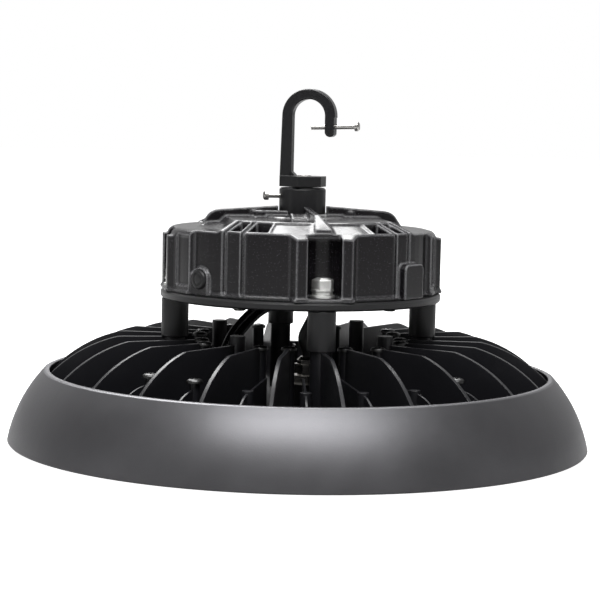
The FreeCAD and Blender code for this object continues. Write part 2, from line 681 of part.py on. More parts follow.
def groove(angle, width):
    """Radial groove down the wall, carried over the shoulder to the plateau's edge."""
    inner_wall = COVER_WALL_R - GROOVE_DEPTH
    slope = (PLATEAU_Z - COVER_RIM_Z) / (COVER_WALL_R - PLATEAU_R)
    top = CUT_TOP_Z
    shoulder_low = COVER_RIM_Z + slope * GROOVE_DEPTH - GROOVE_SHOULDER_DEPTH
    points = [(inner_wall, GROOVE_FLOOR_Z), (COVER_LAND_R + 5, GROOVE_FLOOR_Z),
              (COVER_LAND_R + 5, top), (PLATEAU_R - 1, top),
              (PLATEAU_R - 1, PLATEAU_Z - GROOVE_SHOULDER_DEPTH),
              (inner_wall, shoulder_low)]
    return radial_prism(points, width, angle)


def shoulder_band(start, end, floor_inner_z, floor_outer_z):
    """Part of a ring-shaped trench in the shoulder between two angles."""
    top = CUT_TOP_Z
    trench = revolve([(SHOULDER_INNER_R, floor_inner_z), (SHOULDER_OUTER_R, floor_outer_z),
                      (SHOULDER_OUTER_R, top), (SHOULDER_INNER_R, top)])
    return trench.common(sector(COVER_LAND_R + 5, start, end, COVER_RIM_Z - 20, top))


def shoulder_cuts():
    """Shallow faces and deep pockets in the front and rear shoulders."""
    slope = (PLATEAU_Z - COVER_RIM_Z) / (COVER_WALL_R - PLATEAU_R)
    inner_z = PLATEAU_Z - slope * (SHOULDER_INNER_R - PLATEAU_R) - SHOULDER_FACE_DEPTH
    outer_z = PLATEAU_Z - slope * (SHOULDER_OUTER_R - PLATEAU_R) - SHOULDER_FACE_DEPTH
    cuts = []
    for front in (90, 270):
        for side in (-1, 1):
            spans = [(SHOULDER_FACES, inner_z, outer_z)]
            spans += [(span, SHOULDER_POCKET_FLOOR_Z, SHOULDER_POCKET_FLOOR_Z)
                      for span in SHOULDER_POCKETS]
            for (low, high), floor_in, floor_out in spans:
                start, end = sorted((front + side * low, front + side * high))
                cuts.append(shoulder_band(start, end, floor_in, floor_out))
    return cuts


def lobe_panels():
    """Shallow rectangular recesses in the side lobes."""
    low_z, high_z = LOBE_PANEL_Z
    ring = cylinder(2 * COVER_LAND_R + 10, low_z, high_z).cut(
        cylinder(2 * (COVER_LOBE_R - LOBE_PANEL_DEPTH), low_z - 1, high_z + 1))
    cuts = []
    for post in (0, 180):
        for side in (-1, 1):
            start, end = sorted((post + side * PANEL_START, post + side * LOBE_PANEL_END))
            cuts.append(ring.common(sector(COVER_LAND_R + 5, start, end, low_z, high_z)))
    return cuts


def arched_block(angle, half, outer_r, top_z, corner_r):
    """Block on the cover's wall with rounded upper corners."""
    inner_r = COVER_LOBE_R - 6
    low_z = PLATE_TOP_Z
    block = Part.makeBox(outer_r - inner_r, 2 * half, top_z - low_z, V(inner_r, -half, low_z))
    corners = [e for e in block.Edges
               if abs(e.BoundBox.ZMin - top_z) < 1e-6 and e.BoundBox.XLength > 1]
    return turned(block.makeFillet(corner_r, corners), angle)


def wall_blocks():
    """Pads of the blanking plug and the mains gland, and the entry block."""
    plug_top = PLUG_Z + PLUG_PAD_HALF - 1.0
    return [arched_block(PLUG_ANGLE, PLUG_PAD_HALF, PLUG_PAD_R, plug_top, PLUG_PAD_HALF - 0.6),
            arched_block(ENTRY_ANGLE, ENTRY_HALF, ENTRY_R, ENTRY_TOP_Z, ENTRY_CORNER_R),
            arched_block(MAINS_GLAND_ANGLE, MAINS_PAD_HALF, MAINS_PAD_R,
                         MAINS_GLAND_Z + MAINS_PAD_HALF, MAINS_PAD_HALF - 0.6)]


def hub_disc():
    """Low cone round the collar, with a small pad on each side of each web."""
    foot_r = HUB_DISC_R + HUB_DISC_FLANK
    disc = revolve([(0, PLATEAU_Z - 1), (foot_r, PLATEAU_Z - 1), (foot_r, PLATEAU_Z),
                    (HUB_DISC_R, HUB_DISC_Z), (0, HUB_DISC_Z)])
    pads = [polar_cylinder(HUB_PAD_DIA, PLATEAU_Z - 1, HUB_PAD_Z, HUB_PAD_R, a)
            for a in QUARTERS]
    return [disc] + pads


def make_driver_cover():
    """Die-cast cover of the driver box."""
    walls = cover_plan().extrude(V(0, 0, PLATEAU_Z - PLATE_TOP_Z))
    walls.translate(V(0, 0, PLATE_TOP_Z))
    roof = revolve([(0, PLATE_TOP_Z), (COVER_LAND_R + 3, PLATE_TOP_Z),
                    (COVER_LAND_R + 3, COVER_RIM_Z - 1.5), (COVER_LAND_R - 1.0, COVER_RIM_Z),
                    (COVER_LOBE_TOP_R, COVER_LOBE_TOP_Z), (0, COVER_LOBE_TOP_Z)])
    lower = walls.common(roof)
    raised = walls.common(raised_sectors())
    webs = [radial_plate(web_profile(), WEB_T, a) for a in QUARTERS]
    ramps = [web_ramp(a) for a in QUARTERS]
    relief = [groove(front + side * angle, width)
              for front in (90, 270) for side in (-1, 1) for angle, width in GROOVES]
    relief += shoulder_cuts() + lobe_panels()
    shell = fuse([lower, raised] + webs + ramps).cut(Part.makeCompound(relief))
    body = fuse([shell] + wall_blocks() + hub_disc())

    cuts = [bolt_recess(a) for a in QUARTERS]
    cuts.append(cylinder(2 * COVER_CAVITY_R, PLATE_TOP_Z - 1, COVER_LOBE_TOP_Z - COVER_ROOF_T))
    cuts.append(cylinder(2 * GASKET_R[1], PLATE_TOP_Z - 1, PLATE_TOP_Z + GASKET_T))
    cuts += [polar_cylinder(BOLT_HOLE_DIA, PLATE_TOP_Z - 1, RECESS_FLOOR_Z + 1, POST_R, a)
             for a in QUARTERS]
    cuts += [polar_cylinder(COVER_SCREW["dia"] + 2 * FIT, PLATE_TOP_Z - 1,
                            PLATE_Z + COVER_SCREW_LENGTH + 1, COVER_SCREW_R, a)
             for a in COVER_SCREW_ANGLES]
    cuts.append(cylinder(COLLAR_SPIGOT_DIA + 2 * FIT, COVER_LOBE_TOP_Z - COVER_ROOF_T - 1,
                         HUB_DISC_Z + 1))
    cuts.append(plug_bore())
    cuts.append(mains_gland_bore())
    return body.cut(Part.makeCompound(cuts))


def radial_cylinder(dia, start_r, end_r, angle, z):
    """Cylinder that lies on a radius."""
    rod = Part.makeCylinder(dia / 2, end_r - start_r, V(start_r, 0, z), V(1, 0, 0))
    return turned(rod, angle)


def plug_bore():
    """Hole behind the blanking plug."""
    return radial_cylinder(PLUG_HOLE_DIA, COVER_CAVITY_R - 5, PLUG_PAD_R + 5, PLUG_ANGLE, PLUG_Z)


def make_blanking_plug():
    """Push-in plug with a slightly domed head."""
    head = radial_cylinder(PLUG_DIA, PLUG_PAD_R, PLUG_PAD_R + 1.6, PLUG_ANGLE, PLUG_Z)
    face = [e for e in head.Edges if len(e.Vertexes) == 1]
    far = max(face, key=lambda e: V(e.CenterOfMass.x, e.CenterOfMass.y, 0).Length)
    head = head.makeChamfer(0.6, [far])
    stem = radial_cylinder(PLUG_HOLE_DIA - 2 * FIT, PLUG_PAD_R - 8, PLUG_PAD_R + 0.5,
                           PLUG_ANGLE, PLUG_Z)
    return head.fuse(stem)


def make_cover_gasket():
    """Flat rubber ring in the rebate between cover and plate."""
    ring = cylinder(2 * GASKET_R[1] - 2 * FIT, PLATE_TOP_Z, PLATE_TOP_Z + GASKET_T)
    return ring.cut(cylinder(2 * GASKET_R[0], PLATE_TOP_Z - 1, PLATE_TOP_Z + GASKET_T + 1))


def make_cover_screws():
    """Four screws that draw the cover onto the plate from below."""
    return Part.makeCompound([pan_screw(polar(COVER_SCREW_R, a, PLATE_Z), COVER_SCREW_LENGTH,
                                        down=False, **COVER_SCREW)
                              for a in COVER_SCREW_ANGLES])


def make_driver_module():
    """Potted driver: round can with two flats, standing on the base plate."""
    can = cylinder(2 * MODULE_R, PLATE_TOP_Z, PLATE_TOP_Z + MODULE_HEIGHT)
    lid = [e for e in can.Edges if abs(e.BoundBox.ZMin - PLATE_TOP_Z - MODULE_HEIGHT) < 1e-6]
    can = can.makeChamfer(1.5, lid)
    holes = [polar_cylinder(MODULE_SCREW["dia"] + 2 * FIT, PLATE_TOP_Z - 1,
                            PLATE_Z + MODULE_SCREW_LENGTH + 1, MODULE_SCREW_R, a)
             for a in MODULE_SCREW_ANGLES]
    holes += [cylinder(LEAD_DIA + 4, PLATE_TOP_Z - 1, PLATE_TOP_Z + 6, *place)
              for place in (LEFT_LEAD_TOP, FRONT_LEAD_TOP)]
    return can.cut(Part.makeCompound(holes))


def make_module_screws():
    """Four screws that hold the driver on the plate from below."""
    return Part.makeCompound([pan_screw(polar(MODULE_SCREW_R, a, PLATE_Z), MODULE_SCREW_LENGTH,
                                        down=False, **MODULE_SCREW)
                              for a in MODULE_SCREW_ANGLES])


# ---------------------------------------------------------------- collar and hook
def make_hook_collar():
    """Turned boss pressed into the cover; the hook screws into it."""
    collar = cylinder(COLLAR_DIA, COLLAR_Z, COLLAR_TOP_Z)
    rims = [e for e in collar.Edges if abs(e.BoundBox.ZMin - COLLAR_TOP_Z) < 1e-6]
    collar = collar.makeChamfer(COLLAR_CHAMFER, rims)
    spigot = cylinder(COLLAR_SPIGOT_DIA, COVER_LOBE_TOP_Z - COVER_ROOF_T, COLLAR_Z + 1)
    bore = cylinder(HOOK_STUD_DIA + 2 * FIT, HEX_Z - HOOK_STUD_LENGTH - 1, COLLAR_TOP_Z + 1)
    screw_hole = Part.makeCylinder(SET_SCREW_DIA / 2 + FIT, COLLAR_DIA,
                                   V(-COLLAR_DIA, 0, SET_SCREW_Z), V(1, 0, 0))
    return collar.fuse(spigot).cut(bore).cut(screw_hole)


def make_collar_set_screw():
    """Side screw that locks the hook's stud."""
    head_inner = SET_SCREW_REACH - SET_SCREW_HEAD_H
    shank = Part.makeCylinder(SET_SCREW_DIA / 2, head_inner - SET_SCREW_DEPTH,
                              V(-head_inner, 0, SET_SCREW_Z), V(1, 0, 0))
    head = Part.makeCylinder(SET_SCREW_HEAD_DIA / 2, SET_SCREW_HEAD_H,
                             V(-SET_SCREW_REACH, 0, SET_SCREW_Z), V(1, 0, 0))
    rim = [e for e in head.Edges
           if e.BoundBox.XLength < 1e-6 and abs(e.BoundBox.XMin + SET_SCREW_REACH) < 1e-6]
    slot = Part.makeBox(1.4, 0.7, SET_SCREW_HEAD_DIA * 0.7,
                        V(-SET_SCREW_REACH - 0.5, -0.35,
                          SET_SCREW_Z - 0.35 * SET_SCREW_HEAD_DIA))
    return head.makeChamfer(0.8, rim).cut(slot).fuse(shank)


def hook_bar():
    """Shank, bend and tip of the hook as one plate in the XZ plane."""
    centre = V(HOOK_ARC_U, 0, HOOK_ARC_Z)
    shank_out_top = centre + V(-HOOK_OUTER_R, 0, 0)
    shank_in_top = centre + V(-HOOK_INNER_R, 0, 0)
    tip_in_top = centre + V(HOOK_INNER_R, 0, 0)
    tip_out_top = centre + V(HOOK_OUTER_R, 0, 0)
    foot_out = V(HOOK_SHANK_FOOT[0], 0, HOOK_HEX_TOP_Z - 3)
    foot_in = V(HOOK_SHANK_FOOT[1], 0, HOOK_HEX_TOP_Z - 3)
    round_r = (HOOK_OUTER_R - HOOK_INNER_R) / 2
    tip_out = V(tip_out_top.x, 0, HOOK_TIP_Z + round_r)
    tip_in = V(tip_in_top.x, 0, HOOK_TIP_Z + round_r)
    tip_low = V((tip_out.x + tip_in.x) / 2, 0, HOOK_TIP_Z)
    edges = [line(foot_out, shank_out_top),
             arc(shank_out_top, centre + V(0, 0, HOOK_OUTER_R), tip_out_top),
             line(tip_out_top, tip_out), arc(tip_out, tip_low, tip_in),
             line(tip_in, tip_in_top),
             arc(tip_in_top, centre + V(0, 0, HOOK_INNER_R), shank_in_top),
             line(shank_in_top, foot_in), line(foot_in, foot_out)]
    return radial_plate(edges, HOOK_DEPTH, 0)


def gate_line():
    """Start, direction and length of the gate screw in the hook's own plane."""
    lean = math.radians(GATE_TILT)
    direction = V(math.cos(lean), 0, math.sin(lean))
    tip_middle_u = HOOK_ARC_U + (HOOK_INNER_R + HOOK_OUTER_R) / 2
    start = V(GATE_INNER_U, 0, GATE_Z - (tip_middle_u - GATE_INNER_U) * math.tan(lean))
    return start, direction, (GATE_OUTER_U - GATE_INNER_U) / math.cos(lean)


def make_hook():
    """Forged hook with its hexagonal base and threaded stud."""
    bar = hook_bar()
    rounded = [e for e in bar.Edges if e.BoundBox.YLength < 1e-6
               and e.BoundBox.ZMin > HOOK_HEX_TOP_Z - 3.5 and e.BoundBox.ZLength > 1.0]
    bar = bar.makeFillet(HOOK_EDGE_R, rounded)
    step_u = HOOK_ARC_U + HOOK_OUTER_R - HOOK_STEP
    step = Part.makeBox(5, 2 * HOOK_DEPTH, HOOK_STEP_Z - HOOK_TIP_Z + 5,
                        V(step_u, -HOOK_DEPTH, HOOK_TIP_Z - 5))
    bar = bar.cut(step)
    base = hexagon(HOOK_HEX_AF, HEX_Z, HOOK_HEX_TOP_Z, corner_angle=90)
    web = radial_prism([(HOOK_SHANK_FOOT[1] - 1, HOOK_HEX_TOP_Z - 1),
                        (HOOK_SHANK_FOOT[1] + 2.5, HOOK_HEX_TOP_Z - 1),
                        (HOOK_SHANK_FOOT[1] + 2.5, HOOK_HEX_TOP_Z),
                        (HOOK_SHANK_FOOT[1] - 0.2, HOOK_HEX_TOP_Z + 2.7),
                        (HOOK_SHANK_FOOT[1] - 1, HOOK_HEX_TOP_Z + 2.7)],
                       HOOK_DEPTH - 2 * HOOK_EDGE_R, 0)
    stud = cylinder(HOOK_STUD_DIA, HEX_Z - HOOK_STUD_LENGTH, HEX_Z)
    body = fuse([bar, base, web, stud])
    stem_seat = cylinder(STEM_END_DIA + 2 * FIT, HOOK_HEX_TOP_Z - 4, HOOK_HEX_TOP_Z + 1,
                         STEM_END_U, 0)
    start, direction, length = gate_line()
    gate_hole = Part.makeCylinder(GATE_DIA / 2 + FIT, length, start, direction)
    dent = Part.makeCylinder(SET_SCREW_DIA / 2 + FIT, 10, V(0, 0, SET_SCREW_Z), V(-1, 0, 0))
    dent.rotate(ORIGIN, AXIS_Z, -HOOK_TURN)
    return turned(body.cut(stem_seat).cut(gate_hole).cut(dent), HOOK_TURN)


def make_stem_pin():
    """Threaded pin whose end shows on the hexagon."""
    pin = cylinder(STEM_END_DIA, HOOK_HEX_TOP_Z - 4, HOOK_HEX_TOP_Z + STEM_END_PROUD,
                   STEM_END_U, 0)
    rim = [e for e in pin.Edges
           if abs(e.BoundBox.ZMin - HOOK_HEX_TOP_Z - STEM_END_PROUD) < 1e-6]
    return turned(pin.makeChamfer(0.4, rim), HOOK_TURN)


def make_gate_screw():
    """Screw through the hook's tip that closes its mouth."""
    start, direction, length = gate_line()
    shank = Part.makeCylinder(GATE_DIA / 2, length - GATE_HEAD_H, start, direction)
    head_seat = start + direction * (length - GATE_HEAD_H)
    head = Part.makeCylinder(GATE_HEAD_DIA / 2, GATE_HEAD_H, head_seat, direction)
    end = start + direction * length
    rim = min((e for e in head.Edges if len(e.Vertexes) == 1),
              key=lambda e: (e.CenterOfMass - end).Length)
    return turned(head.makeChamfer(0.8, [rim]).fuse(shank), HOOK_TURN)


# ---------------------------------------------------------------- screws of the heat sink
def make_frame_screws():
    """Eight screws that clamp heat sink, ring flange and lens frame together."""
    length = BOSS_TOP_Z - FRAME_Z - 3.0
    return Part.makeCompound([pan_screw(polar(PAD_R, q + a, BOSS_TOP_Z), length, **FRAME_SCREW)
                              for q in QUARTERS for a in BOSS_OFFSETS])


def make_column_screws():
    """Sixteen screws in the tops of the fin columns."""
    return Part.makeCompound([pan_screw(polar(radius, q + a, COLUMN_TOP_Z),
                                        COLUMN_SCREW_LENGTH, **COLUMN_SCREW)
                              for q in QUARTERS for a, radius in COLUMN_PLACES])


# ---------------------------------------------------------------- light engine
def make_led_board():
    """Round aluminium circuit board under the floor."""
    board = cylinder(2 * BOARD_R, FLOOR_Z - BOARD_T, FLOOR_Z)
    return board.cut(cylinder(2 * WIRE_HOLE_R, FLOOR_Z - BOARD_T - 1, FLOOR_Z + 1,
                              CENTRE_GLAND_X, CENTRE_GLAND_Y))


def make_led_chips():
    """Square LEDs in rings on the board."""
    top = FLOOR_Z - BOARD_T
    chips = []
    for ring, (radius, count) in enumerate(CHIP_RINGS):
        for i in range(count):
            chip = Part.makeBox(CHIP_SIZE, CHIP_SIZE, CHIP_T,
                                V(radius - CHIP_SIZE / 2, -CHIP_SIZE / 2, top - CHIP_T))
            chips.append(turned(chip, 360.0 * i / count + 4.0 * ring))
    return Part.makeCompound(chips)


def make_lens():
    """Flat clear cover of the light opening."""
    low = FRAME_Z + FRAME_LIP_T
    return cylinder(2 * (FRAME_BODY_R[0] - LENS_GAP), low, low + LENS_T)


def make_lens_gasket():
    """Rubber ring between the lens and the floor."""
    low = FRAME_Z + FRAME_LIP_T + LENS_T
    ring = cylinder(2 * (FRAME_BODY_R[0] - LENS_GAP), low, FLOOR_Z)
    return ring.cut(cylinder(2 * FRAME_LIP_R, low - 1, FLOOR_Z + 1))


def make_lens_frame():
    """Ring that carries the lens on a lip and clamps the outer ring's flange."""
    flange_low = FLANGE_Z - FRAME_FLANGE_T
    frame = revolve([(FRAME_LIP_R, FRAME_Z), (FRAME_BODY_R[1], FRAME_Z),
                     (FRAME_BODY_R[1] + 2, flange_low), (FRAME_OUTER_R, flange_low),
                     (FRAME_OUTER_R, FLANGE_Z), (FRAME_BODY_R[1], FLANGE_Z),
                     (FRAME_BODY_R[1], FLOOR_Z), (FRAME_BODY_R[0], FLOOR_Z),
                     (FRAME_BODY_R[0], FRAME_Z + FRAME_LIP_T),
                     (FRAME_LIP_R, FRAME_Z + FRAME_LIP_T)])
    holes = [polar_cylinder(FRAME_SCREW["dia"] + 2 * FIT, FRAME_Z + 2.0, FLOOR_Z + 1,
                            PAD_R, q + a) for q in QUARTERS for a in BOSS_OFFSETS]
    return frame.cut(Part.makeCompound(holes))


# ---------------------------------------------------------------- glands and leads
def lead_route_left():
    """Route of the left lead: gland under the plate to the hole in the hub's floor."""
    x, y = LEFT_LEAD_TOP
    foot_x, foot_y = LEFT_LEAD_FOOT
    return [V(x, y, PLATE_Z), V(x, y, PLATE_Z - 11.0), V(-17.1, 31.2, 70.0),
            V(-31.6, 17.4, 62.5), V(-42.1, 9.0, 51.0), V(foot_x, foot_y, 38.0),
            V(foot_x, foot_y, FLOOR_TOP_Z)]


def lead_route_front():
    """Route of the front lead: gland under the plate to the gland in the hub."""
    x, y = FRONT_LEAD_TOP
    end_x, end_y = CENTRE_GLAND_X, CENTRE_GLAND_Y
    end_z = HUB_BOSS_TOP_Z + CENTRE_GLAND_H - 3.0
    return [V(x, y, PLATE_Z), V(x, y, PLATE_Z - 8.5), V(x - 7.3, y + 0.9, 58.5),
            V(end_x, end_y, end_z + 5.5), V(end_x, end_y, end_z)]


def tube(route, dia):
    """Round lead along straight runs joined by tangent arcs."""
    edges = []
    start = route[0]
    for before, corner, after in zip(route, route[1:], route[2:]):
        way_in = (corner - before)
        way_out = (after - corner)
        turn = way_in.getAngle(way_out)
        share_in = END_SHARE if before is route[0] else BEND_SHARE
        share_out = END_SHARE if after is route[-1] else BEND_SHARE
        cut = min(share_in * way_in.Length, share_out * way_out.Length)
        radius = cut / math.tan(turn / 2)
        print(f"lead bend radius {radius:.1f}")
        unit_in = V(way_in).normalize()
        unit_out = V(way_out).normalize()
        arc_start = corner - unit_in * cut
        arc_end = corner + unit_out * cut
        bisector = (unit_out - unit_in).normalize()
        middle = corner + bisector * (radius / math.cos(turn / 2) - radius)
        edges.append(line(start, arc_start))
        edges.append(arc(arc_start, middle, arc_end))
        start = arc_end
    edges.append(line(start, route[-1]))
    path = Part.Wire(edges)
    first = V(route[1] - route[0]).normalize()
    ring = Part.Wire(Part.makeCircle(dia / 2, route[0], first))
    body = path.makePipeShell([ring], True, False)
    expected = math.pi * dia ** 2 / 4 * path.Length
    print(f"lead length {path.Length:.1f}, volume ratio {body.Volume / expected:.4f}")
    return body


def top_gland(place):
    """Flat nylon bush nut under the base plate, flared inside for the slanting lead."""
    x, y = place
    nut_low = PLATE_Z - TOP_GLAND_NUT_H
    nut = hexagon(TOP_GLAND_AF, nut_low, PLATE_Z, 15, x, y)
    spigot = cylinder(LEAD_DIA + 2 - 2 * FIT, PLATE_Z, PLATE_TOP_Z, x, y)
    bore = cylinder(LEAD_DIA + 2 * FIT, nut_low - 1, PLATE_Z, x, y)
    return nut.fuse(spigot).cut(bore)


def make_top_glands():
    """The two glands under the base plate."""
    return Part.makeCompound([top_gland(LEFT_LEAD_TOP), top_gland(FRONT_LEAD_TOP)])


def make_centre_gland():
    """Nickel-plated gland on the hub's seat."""
    x, y = CENTRE_GLAND_X, CENTRE_GLAND_Y
    low = HUB_BOSS_TOP_Z
    top = low + CENTRE_GLAND_H
    hex_part = hexagon(16.0, low, low + 4.5, 20, x, y)
    neck = cylinder(12.0, low + 4.5, low + 6.0, x, y)
    nut = hexagon(14.0, low + 6.0, top - 4.0, 0, x, y)
    dome = cylinder(12.4, top - 4.0, top, x, y)
    top_rim = [e for e in dome.Edges if abs(e.BoundBox.ZMin - top) < 1e-6]
    dome = dome.makeChamfer(1.8, top_rim)
    thread = cylinder(2 * GLAND_BORE_R - 2 * FIT, FLOOR_Z + 1, low, x, y)
    bore = cylinder(LEAD_DIA + 2 * FIT, top - 3.0, top + 1.0, x, y)
    return fuse([hex_part, neck, nut, dome, thread]).cut(bore)


def make_lead_grommet():
    """Rubber grommet where the left lead enters the hub's floor."""
    x, y = LEFT_LEAD_FOOT
    flange = cylinder(GROMMET_DIA, FLOOR_TOP_Z, FLOOR_TOP_Z + GROMMET_H, x, y)
    rim = [e for e in flange.Edges
           if abs(e.BoundBox.ZMin - FLOOR_TOP_Z - GROMMET_H) < 1e-6]
    flange = flange.makeChamfer(1.2, rim)
    sleeve = cylinder(LEAD_DIA + 2 - 2 * FIT, FLOOR_Z + 1, FLOOR_TOP_Z, x, y)
    bore = cylinder(LEAD_DIA + 2 * FIT, FLOOR_TOP_Z, FLOOR_TOP_Z + GROMMET_H + 1, x, y)
    return flange.fuse(sleeve).cut(bore)


def mains_gland_bore():
    """Hole for the mains gland in the rear of the right lobe."""
    return radial_cylinder(MAINS_GLAND_BORE, COVER_CAVITY_R - 5, COVER_LAND_R + 5,
                           MAINS_GLAND_ANGLE, MAINS_GLAND_Z)


def make_mains_gland():
    """Nylon inlet gland for the supply cable: flange, hexagon and domed nut, bored through."""
    seat = MAINS_PAD_R
    inner = COVER_CAVITY_R + 2
    hex_end, nut_end = seat + 4.5, seat + 9.5

    def rod(dia, start, end):
        return radial_cylinder(dia, start, end, 0, MAINS_GLAND_Z)

    body = rod(MAINS_GLAND_BORE - 2 * FIT, inner, seat)
    prism = hexagon(MAINS_GLAND_DIA * 0.88, 0, hex_end - seat)
    prism.rotate(ORIGIN, V(0, 1, 0), 90)
    prism.translate(V(seat, 0, MAINS_GLAND_Z))
    nut = Part.makeCone(MAINS_GLAND_DIA * 0.42, MAINS_GLAND_DIA * 0.34, nut_end - hex_end,
                        V(hex_end, 0, MAINS_GLAND_Z), V(1, 0, 0))
    bore = rod(MAINS_GLAND_BORE * 0.6, inner - 1, nut_end + 1)
    return turned(fuse([body, prism, nut]).cut(bore), MAINS_GLAND_ANGLE)


# ---------------------------------------------------------------- all nodes
NODES = {
    "rim_ring": make_rim_ring,
    "heat_sink": make_heat_sink,
    "post_front": lambda: make_post(270),
    "post_right": lambda: make_post(0),
    "post_rear": lambda: make_post(90),
    "post_left": lambda: make_post(180),
    "driver_base_plate": make_base_plate,
    "post_bolts": make_post_bolts,
    "flat_washers": make_flat_washers,
    "spring_washers": make_spring_washers,
    "driver_cover": make_driver_cover,
    "blanking_plug": make_blanking_plug,
    "cover_gasket": make_cover_gasket,
    "cover_screws": make_cover_screws,
    "driver_module": make_driver_module,
    "module_screws": make_module_screws,
    "hook_collar": make_hook_collar,
    "collar_set_screw": make_collar_set_screw,
    "hook": make_hook,
    "stem_pin": make_stem_pin,
    "gate_screw": make_gate_screw,
    "frame_screws": make_frame_screws,
    "column_screws": make_column_screws,
    "led_board": make_led_board,
    "led_chips": make_led_chips,
    "lens": make_lens,
    "lens_gasket": make_lens_gasket,
    "lens_frame": make_lens_frame,
    "top_glands": make_top_glands,
    "centre_gland": make_centre_gland,
    "lead_grommet": make_lead_grommet,
    "mains_gland": make_mains_gland,
    "left_lead": lambda: tube(lead_route_left(), LEAD_DIA),
    "front_lead": lambda: tube(lead_route_front(), LEAD_DIA),
}


def main():
    """Build every node and write it to parts/."""
    os.makedirs("parts", exist_ok=True)
    for name, make in NODES.items():
        shape = make()
        shape.exportStep(os.path.join("parts", name + ".step"))
        print(f"{name}: {len(shape.Solids)} solids, valid {shape.isValid()}, "
              f"{shape.Volume / 1000:.1f} cm3")


main()
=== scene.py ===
"""High bay light: finishes, fastenings, leads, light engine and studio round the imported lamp.

Lengths are metres and angles degrees unless a name says otherwise.  The lamp's axis is +Z and
its front post stands on -Y.
"""

import logging
import math
from dataclasses import dataclass, field
from enum import Enum
from typing import Callable, Optional, Sequence, Union

import bpy
from mathutils import Matrix, Vector


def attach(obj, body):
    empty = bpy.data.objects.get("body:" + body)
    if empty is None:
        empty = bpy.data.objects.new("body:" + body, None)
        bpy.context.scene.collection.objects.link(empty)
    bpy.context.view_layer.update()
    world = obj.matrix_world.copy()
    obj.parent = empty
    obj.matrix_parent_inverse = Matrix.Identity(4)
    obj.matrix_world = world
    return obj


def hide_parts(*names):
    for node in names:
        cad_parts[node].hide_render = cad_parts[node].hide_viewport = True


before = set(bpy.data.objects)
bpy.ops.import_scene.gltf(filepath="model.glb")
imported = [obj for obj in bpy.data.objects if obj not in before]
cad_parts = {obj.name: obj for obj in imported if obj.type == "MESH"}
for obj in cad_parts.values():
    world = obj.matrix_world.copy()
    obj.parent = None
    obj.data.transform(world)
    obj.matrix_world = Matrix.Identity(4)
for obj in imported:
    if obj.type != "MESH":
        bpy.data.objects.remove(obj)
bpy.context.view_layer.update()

LOG = logging.getLogger("high_bay")
ROOT = "root"

MM = 0.001

Colour = tuple[float, float, float]


# ---------------------------------------------------------------- shader expressions
class Sock:
    """A node's output socket that takes part in sums; each operator adds a Math node."""

    def __init__(self, recipe: "Recipe", out: bpy.types.NodeSocket) -> None:
        """Keep the socket and the recipe that it belongs to."""
        self.recipe = recipe
        self.out = out

    def _sum(self, operation: str, first: "Value", second: "Value") -> "Sock":
        """Add one Math node.

        Args:
            operation: the Math node's operation.
            first: its first value.
            second: its second value.

        Returns:
            The node's result.
        """
        return self.recipe.node("ShaderNodeMath", {"operation": operation},
                                {0: first, 1: second})

    def __add__(self, other: "Value") -> "Sock":
        """Self plus other."""
        return self._sum("ADD", self, other)

    def __radd__(self, other: "Value") -> "Sock":
        """Other plus self."""
        return self._sum("ADD", other, self)

    def __sub__(self, other: "Value") -> "Sock":
        """Self minus other."""
        return self._sum("SUBTRACT", self, other)

    def __rsub__(self, other: "Value") -> "Sock":
        """Other minus self."""
        return self._sum("SUBTRACT", other, self)

    def __mul__(self, other: "Value") -> "Sock":
        """Self times other."""
        return self._sum("MULTIPLY", self, other)

    def __rmul__(self, other: "Value") -> "Sock":
        """Other times self."""
        return self._sum("MULTIPLY", other, self)

    def __pow__(self, other: "Value") -> "Sock":
        """Self to the power of other."""
        return self._sum("POWER", self, other)

    def over(self, level: float) -> "Sock":
        """One where self is above a level, else nothing."""
        return self._sum("GREATER_THAN", self, level)

    def held(self) -> "Sock":
        """Self held between nothing and one."""
        return self.recipe.node("ShaderNodeClamp", {}, {"Value": self})


Value = Union[Sock, float, Sequence[float]]


